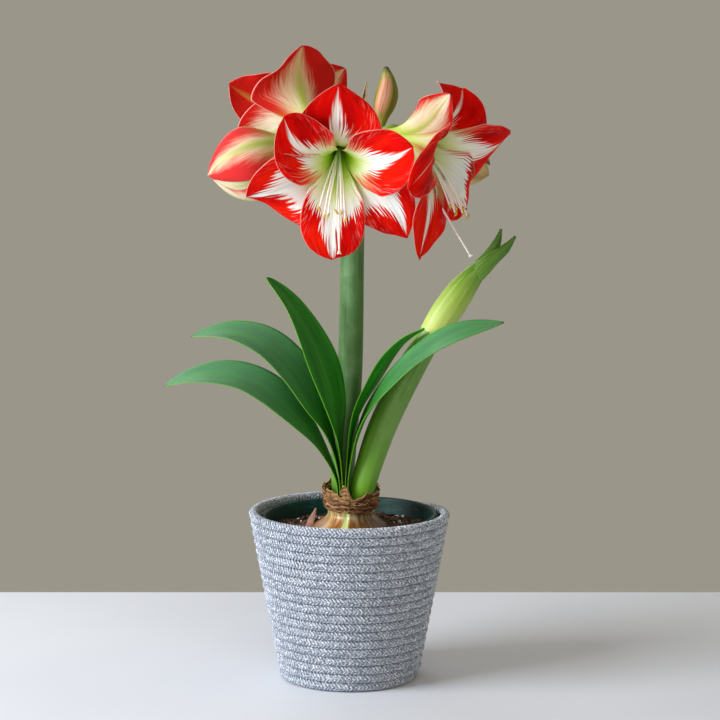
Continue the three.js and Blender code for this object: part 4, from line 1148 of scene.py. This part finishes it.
def tall_stalk():
    """The tall stalk, its umbel of flower stalks, and the swollen three-sided ovary under each flower."""
    bm = start_mesh()
    stem_skin(bm, TALL_SCAPE, TALL_RADII, sides=40, rows=120, section=ribbed(0.008, 9))
    top = Vector(UMBEL)
    head = [(0, -8), (9.5, -8), (11.2, -5.5), (12, -3), (12.2, -1), (12, 1), (10.6, 2.8), (8.5, 4), (4, 4.8),
            (0, 5)]
    wrap_skin(bm, 32, len(head) - 1, lambda turn, along: top + around(turn, *on_profile(head, along)),
              material=1)
    cup = [(0, -6), (3.9, -6), (4.6, -2), (4.9, 1), (5, 4), (4, 5.5), (0, 6)]
    for flower in (*FLOWERS.values(), *BUDS.values()):
        axes = FlowerFrame(flower)
        away = Vector((axes.base.x - UMBEL[0], axes.base.y - UMBEL[1], 0)).normalized()
        start = top + away * 5
        before = axes.base - axes.out * 14
        middle = start.lerp(before, 0.5) + Vector((0, 0, 2))
        stem_skin(bm, [start, middle, before, axes.base], [4.2, 4, 3.9, 5.8, 5.6, 3.9], sides=24, rows=40,
                  section=lambda turn, along: 1 + 0.07 * cos(3 * turn) * smooth(0.45, 0.7, along), material=1)
        wrap_skin(bm, 24, len(cup) - 1, material=1,
                  place=lambda turn, along, axes=axes: axes.ring(*on_profile(cup, along), turn))
    x, y, z = CLOSED_BUD[0]
    bent = [top + Vector((3, 4, 0)), (18, 14, 454), (x, y, z - 9), (x, y, z - 5), (x, y, z)]
    stem_skin(bm, bent, [3.6, 3.4, 3.4, 3.4], sides=20, rows=30, material=1)
    make_piece(bm, "tall_stalk", "tall_scape", "scape_green",
               stalk_material("stalk_blue_green", "#335d27", "#578242", "#789c6a", "#68a02a"),
               stalk_material("flower_stalk_green", "#6f9432", "#9dbb4d", "#c0d382", "#76ae34"))


def leaning_stalk():
    bm = start_mesh()
    stem_skin(bm, LEANING_SCAPE, LEANING_RADII, sides=40, rows=80, section=ribbed(0.008, 9))
    make_piece(bm, "leaning_stalk", "leaning_scape", "pale_scape_green",
               stalk_material("stalk_yellow_green", "#4a7f1e", "#74a53a", "#8cae66", "#74b022"))


SHEATH_BODY = [(70.6, -2, 298), (78.4, -2, 311), (88, -1, 325), (98, 0, 339), (109, 1, 352),
               (119, 1.5, 363.5)]
SHEATH_TIPS = (
    ([(96, 1, 336), (108, 2, 351), (118, 3, 363), (125, 4, 375), (128.8, 4.5, 387)],
     [4, 7, 7, 5.6, 3.8, 1.2]),
    ([(96, -1, 336), (109, -2, 350), (120, -2.4, 361), (131, -3, 370), (140.5, -3.5, 381.5)],
     [4, 6.8, 7, 5.7, 4, 1.2]))


def sheath_bud():
    """The second stalk's sheath, still shut, with its two green tips."""
    bm = start_mesh()
    stem_skin(bm, SHEATH_BODY, [11.7, 12.3, 12.7, 12.2, 10.2, 7.4, 3.4], sides=48, rows=60, flat=0.94,
              section=ribbed(0.012, 11))
    for points, radii in SHEATH_TIPS:
        stem_skin(bm, points, radii, sides=32, rows=50, flat=0.7, section=ribbed(0.02, 7))
    make_piece(bm, "sheathed_bud", "spathe_bud", "spathe_green", spathe_material())


# ---------------------------------------------------------------- camera, light and floor
CAMERA_AT = Vector((9, -2200, 575.4))
CAMERA_LOOKS_AT = Vector((9, 0, 275.3))
FOCAL_LENGTH = 130.1            # on a frame 36 mm wide
TABLE_EDGE = 321                # the table ends this far behind the plant
TABLE_HALF = 1.6                # half its width, in metres
TABLE_DROP = 0.0005             # it lies this much under the basket, in metres
LIGHTS_AIM = Vector((0, 0, 0.3))
# name, place and size in metres, power in watts and colour
LIGHTS = (("window", (-1.75, -0.85, 1.05), 1.3, 62, "#f2f7ff"), ("room", (0.2, -2.4, 1.0), 1.6, 9, "#fff6ea"),
          ("behind", (-0.8, 1.7, 1.5), 1.2, 8, "#f6f8ff"))


def into_scene(name, data, place=(0, 0, 0), aim=None):
    """An object in the scene, turned to what it aims at."""
    thing = bpy.data.objects.new(name, data)
    thing.location = place
    if aim is not None:
        thing.rotation_euler = (aim - Vector(place)).to_track_quat("-Z", "Y").to_euler()
    bpy.context.scene.collection.objects.link(thing)
    return thing


def stage():
    """The camera, a big window on the left, a plain table and a plain room."""
    lens = bpy.data.cameras.new("camera")
    lens.lens, lens.sensor_width = FOCAL_LENGTH, 36
    bpy.context.scene.camera = into_scene("camera", lens, CAMERA_AT * MM, CAMERA_LOOKS_AT * MM)

    for name, place, size, power, colour in LIGHTS:
        lamp = bpy.data.lights.new(name, "AREA")
        lamp.size, lamp.energy, lamp.color = size, power, linear(colour)[:3]
        into_scene(name, lamp, place, LIGHTS_AIM)

    bm = bmesh.new()
    bmesh.ops.create_grid(bm, x_segments=1, y_segments=1, size=TABLE_HALF)
    bmesh.ops.translate(bm, vec=(0, TABLE_EDGE * MM - TABLE_HALF, -TABLE_DROP), verts=bm.verts)
    mesh = bpy.data.meshes.new("table")
    bm.to_mesh(mesh)
    bm.free()
    m = start_material("painted_table")
    tone = m.ramp(m.cloud(m.spot(), 3, 2), (0.3, "#dde0e8"), (0.7, "#e6e9ef"))
    mesh.materials.append(m.finish(tone, 0.6, 1.5))
    table = into_scene("table", mesh)

    world = bpy.data.worlds.new("room")
    bpy.context.scene.world = world
    m = Shader(world)
    m.put("OutputWorld", m.put("Background", "#9b968a", 1.0))
    bpy.context.scene.view_settings.view_transform = "Standard"


# ---------------------------------------------------------------- the whole plant in its basket
stage()
rope_basket()
nursery_pot()
potting_mix()
pine_bark = earth_material("pine_bark", "#1c110b", "#4a2f1e", "#7d5a3c", 2.5, 0.6)
scatter("bark_chips", 460, bark_chip, pine_bark, seed=4711)
puffed = earth_material("perlite", "#b9b3a8", "#e4e0d8", "#ffffff", 1.0, 0.3)
scatter("perlite", 80, perlite_bead, puffed, seed=815)
bulb()
dry_tunic()
cast_off_scale()
tall_stalk()
leaning_stalk()
sheath_bud()
withered_sheath()
leaf_green = leaf_blade_material()
for index, (leaf_name, leaf_values) in enumerate(LEAVES.items()):
    leaf(leaf_name, leaf_values, 1.3 * index, leaf_green)
red_and_white = petal_inside()
bloom_back = petal_outside("petal_back_cream", "#f1e3c8", "#e4c8a8", "#cc0803", "#aebb3e", 0.1)
for flower_name, values in FLOWERS.items():
    bloom(flower_name + "_bloom", values, "petal", (red_and_white, bloom_back))
    stamens_and_style(flower_name + "_threads", values, flower_name + "_stamens")
bud_back = petal_outside("bud_petal_cream", "#f3e2c4", "#e8cda6", "#d8282a", "#a9b84a", -0.1)
bloom("left_opening_bud", BUDS["left"], "opening_petal", (red_and_white, bud_back), rows=48, columns=28)
faded = petal_outside("bud_petal_tan", "#d8bd88", "#bf9a62", "#a4472f", "#8f7a3a", -0.3, hem="#c9a06a")
bloom("rear_opening_bud", BUDS["rear"], "opening_petal", (faded, faded), rows=48, columns=28)
closed_bud()
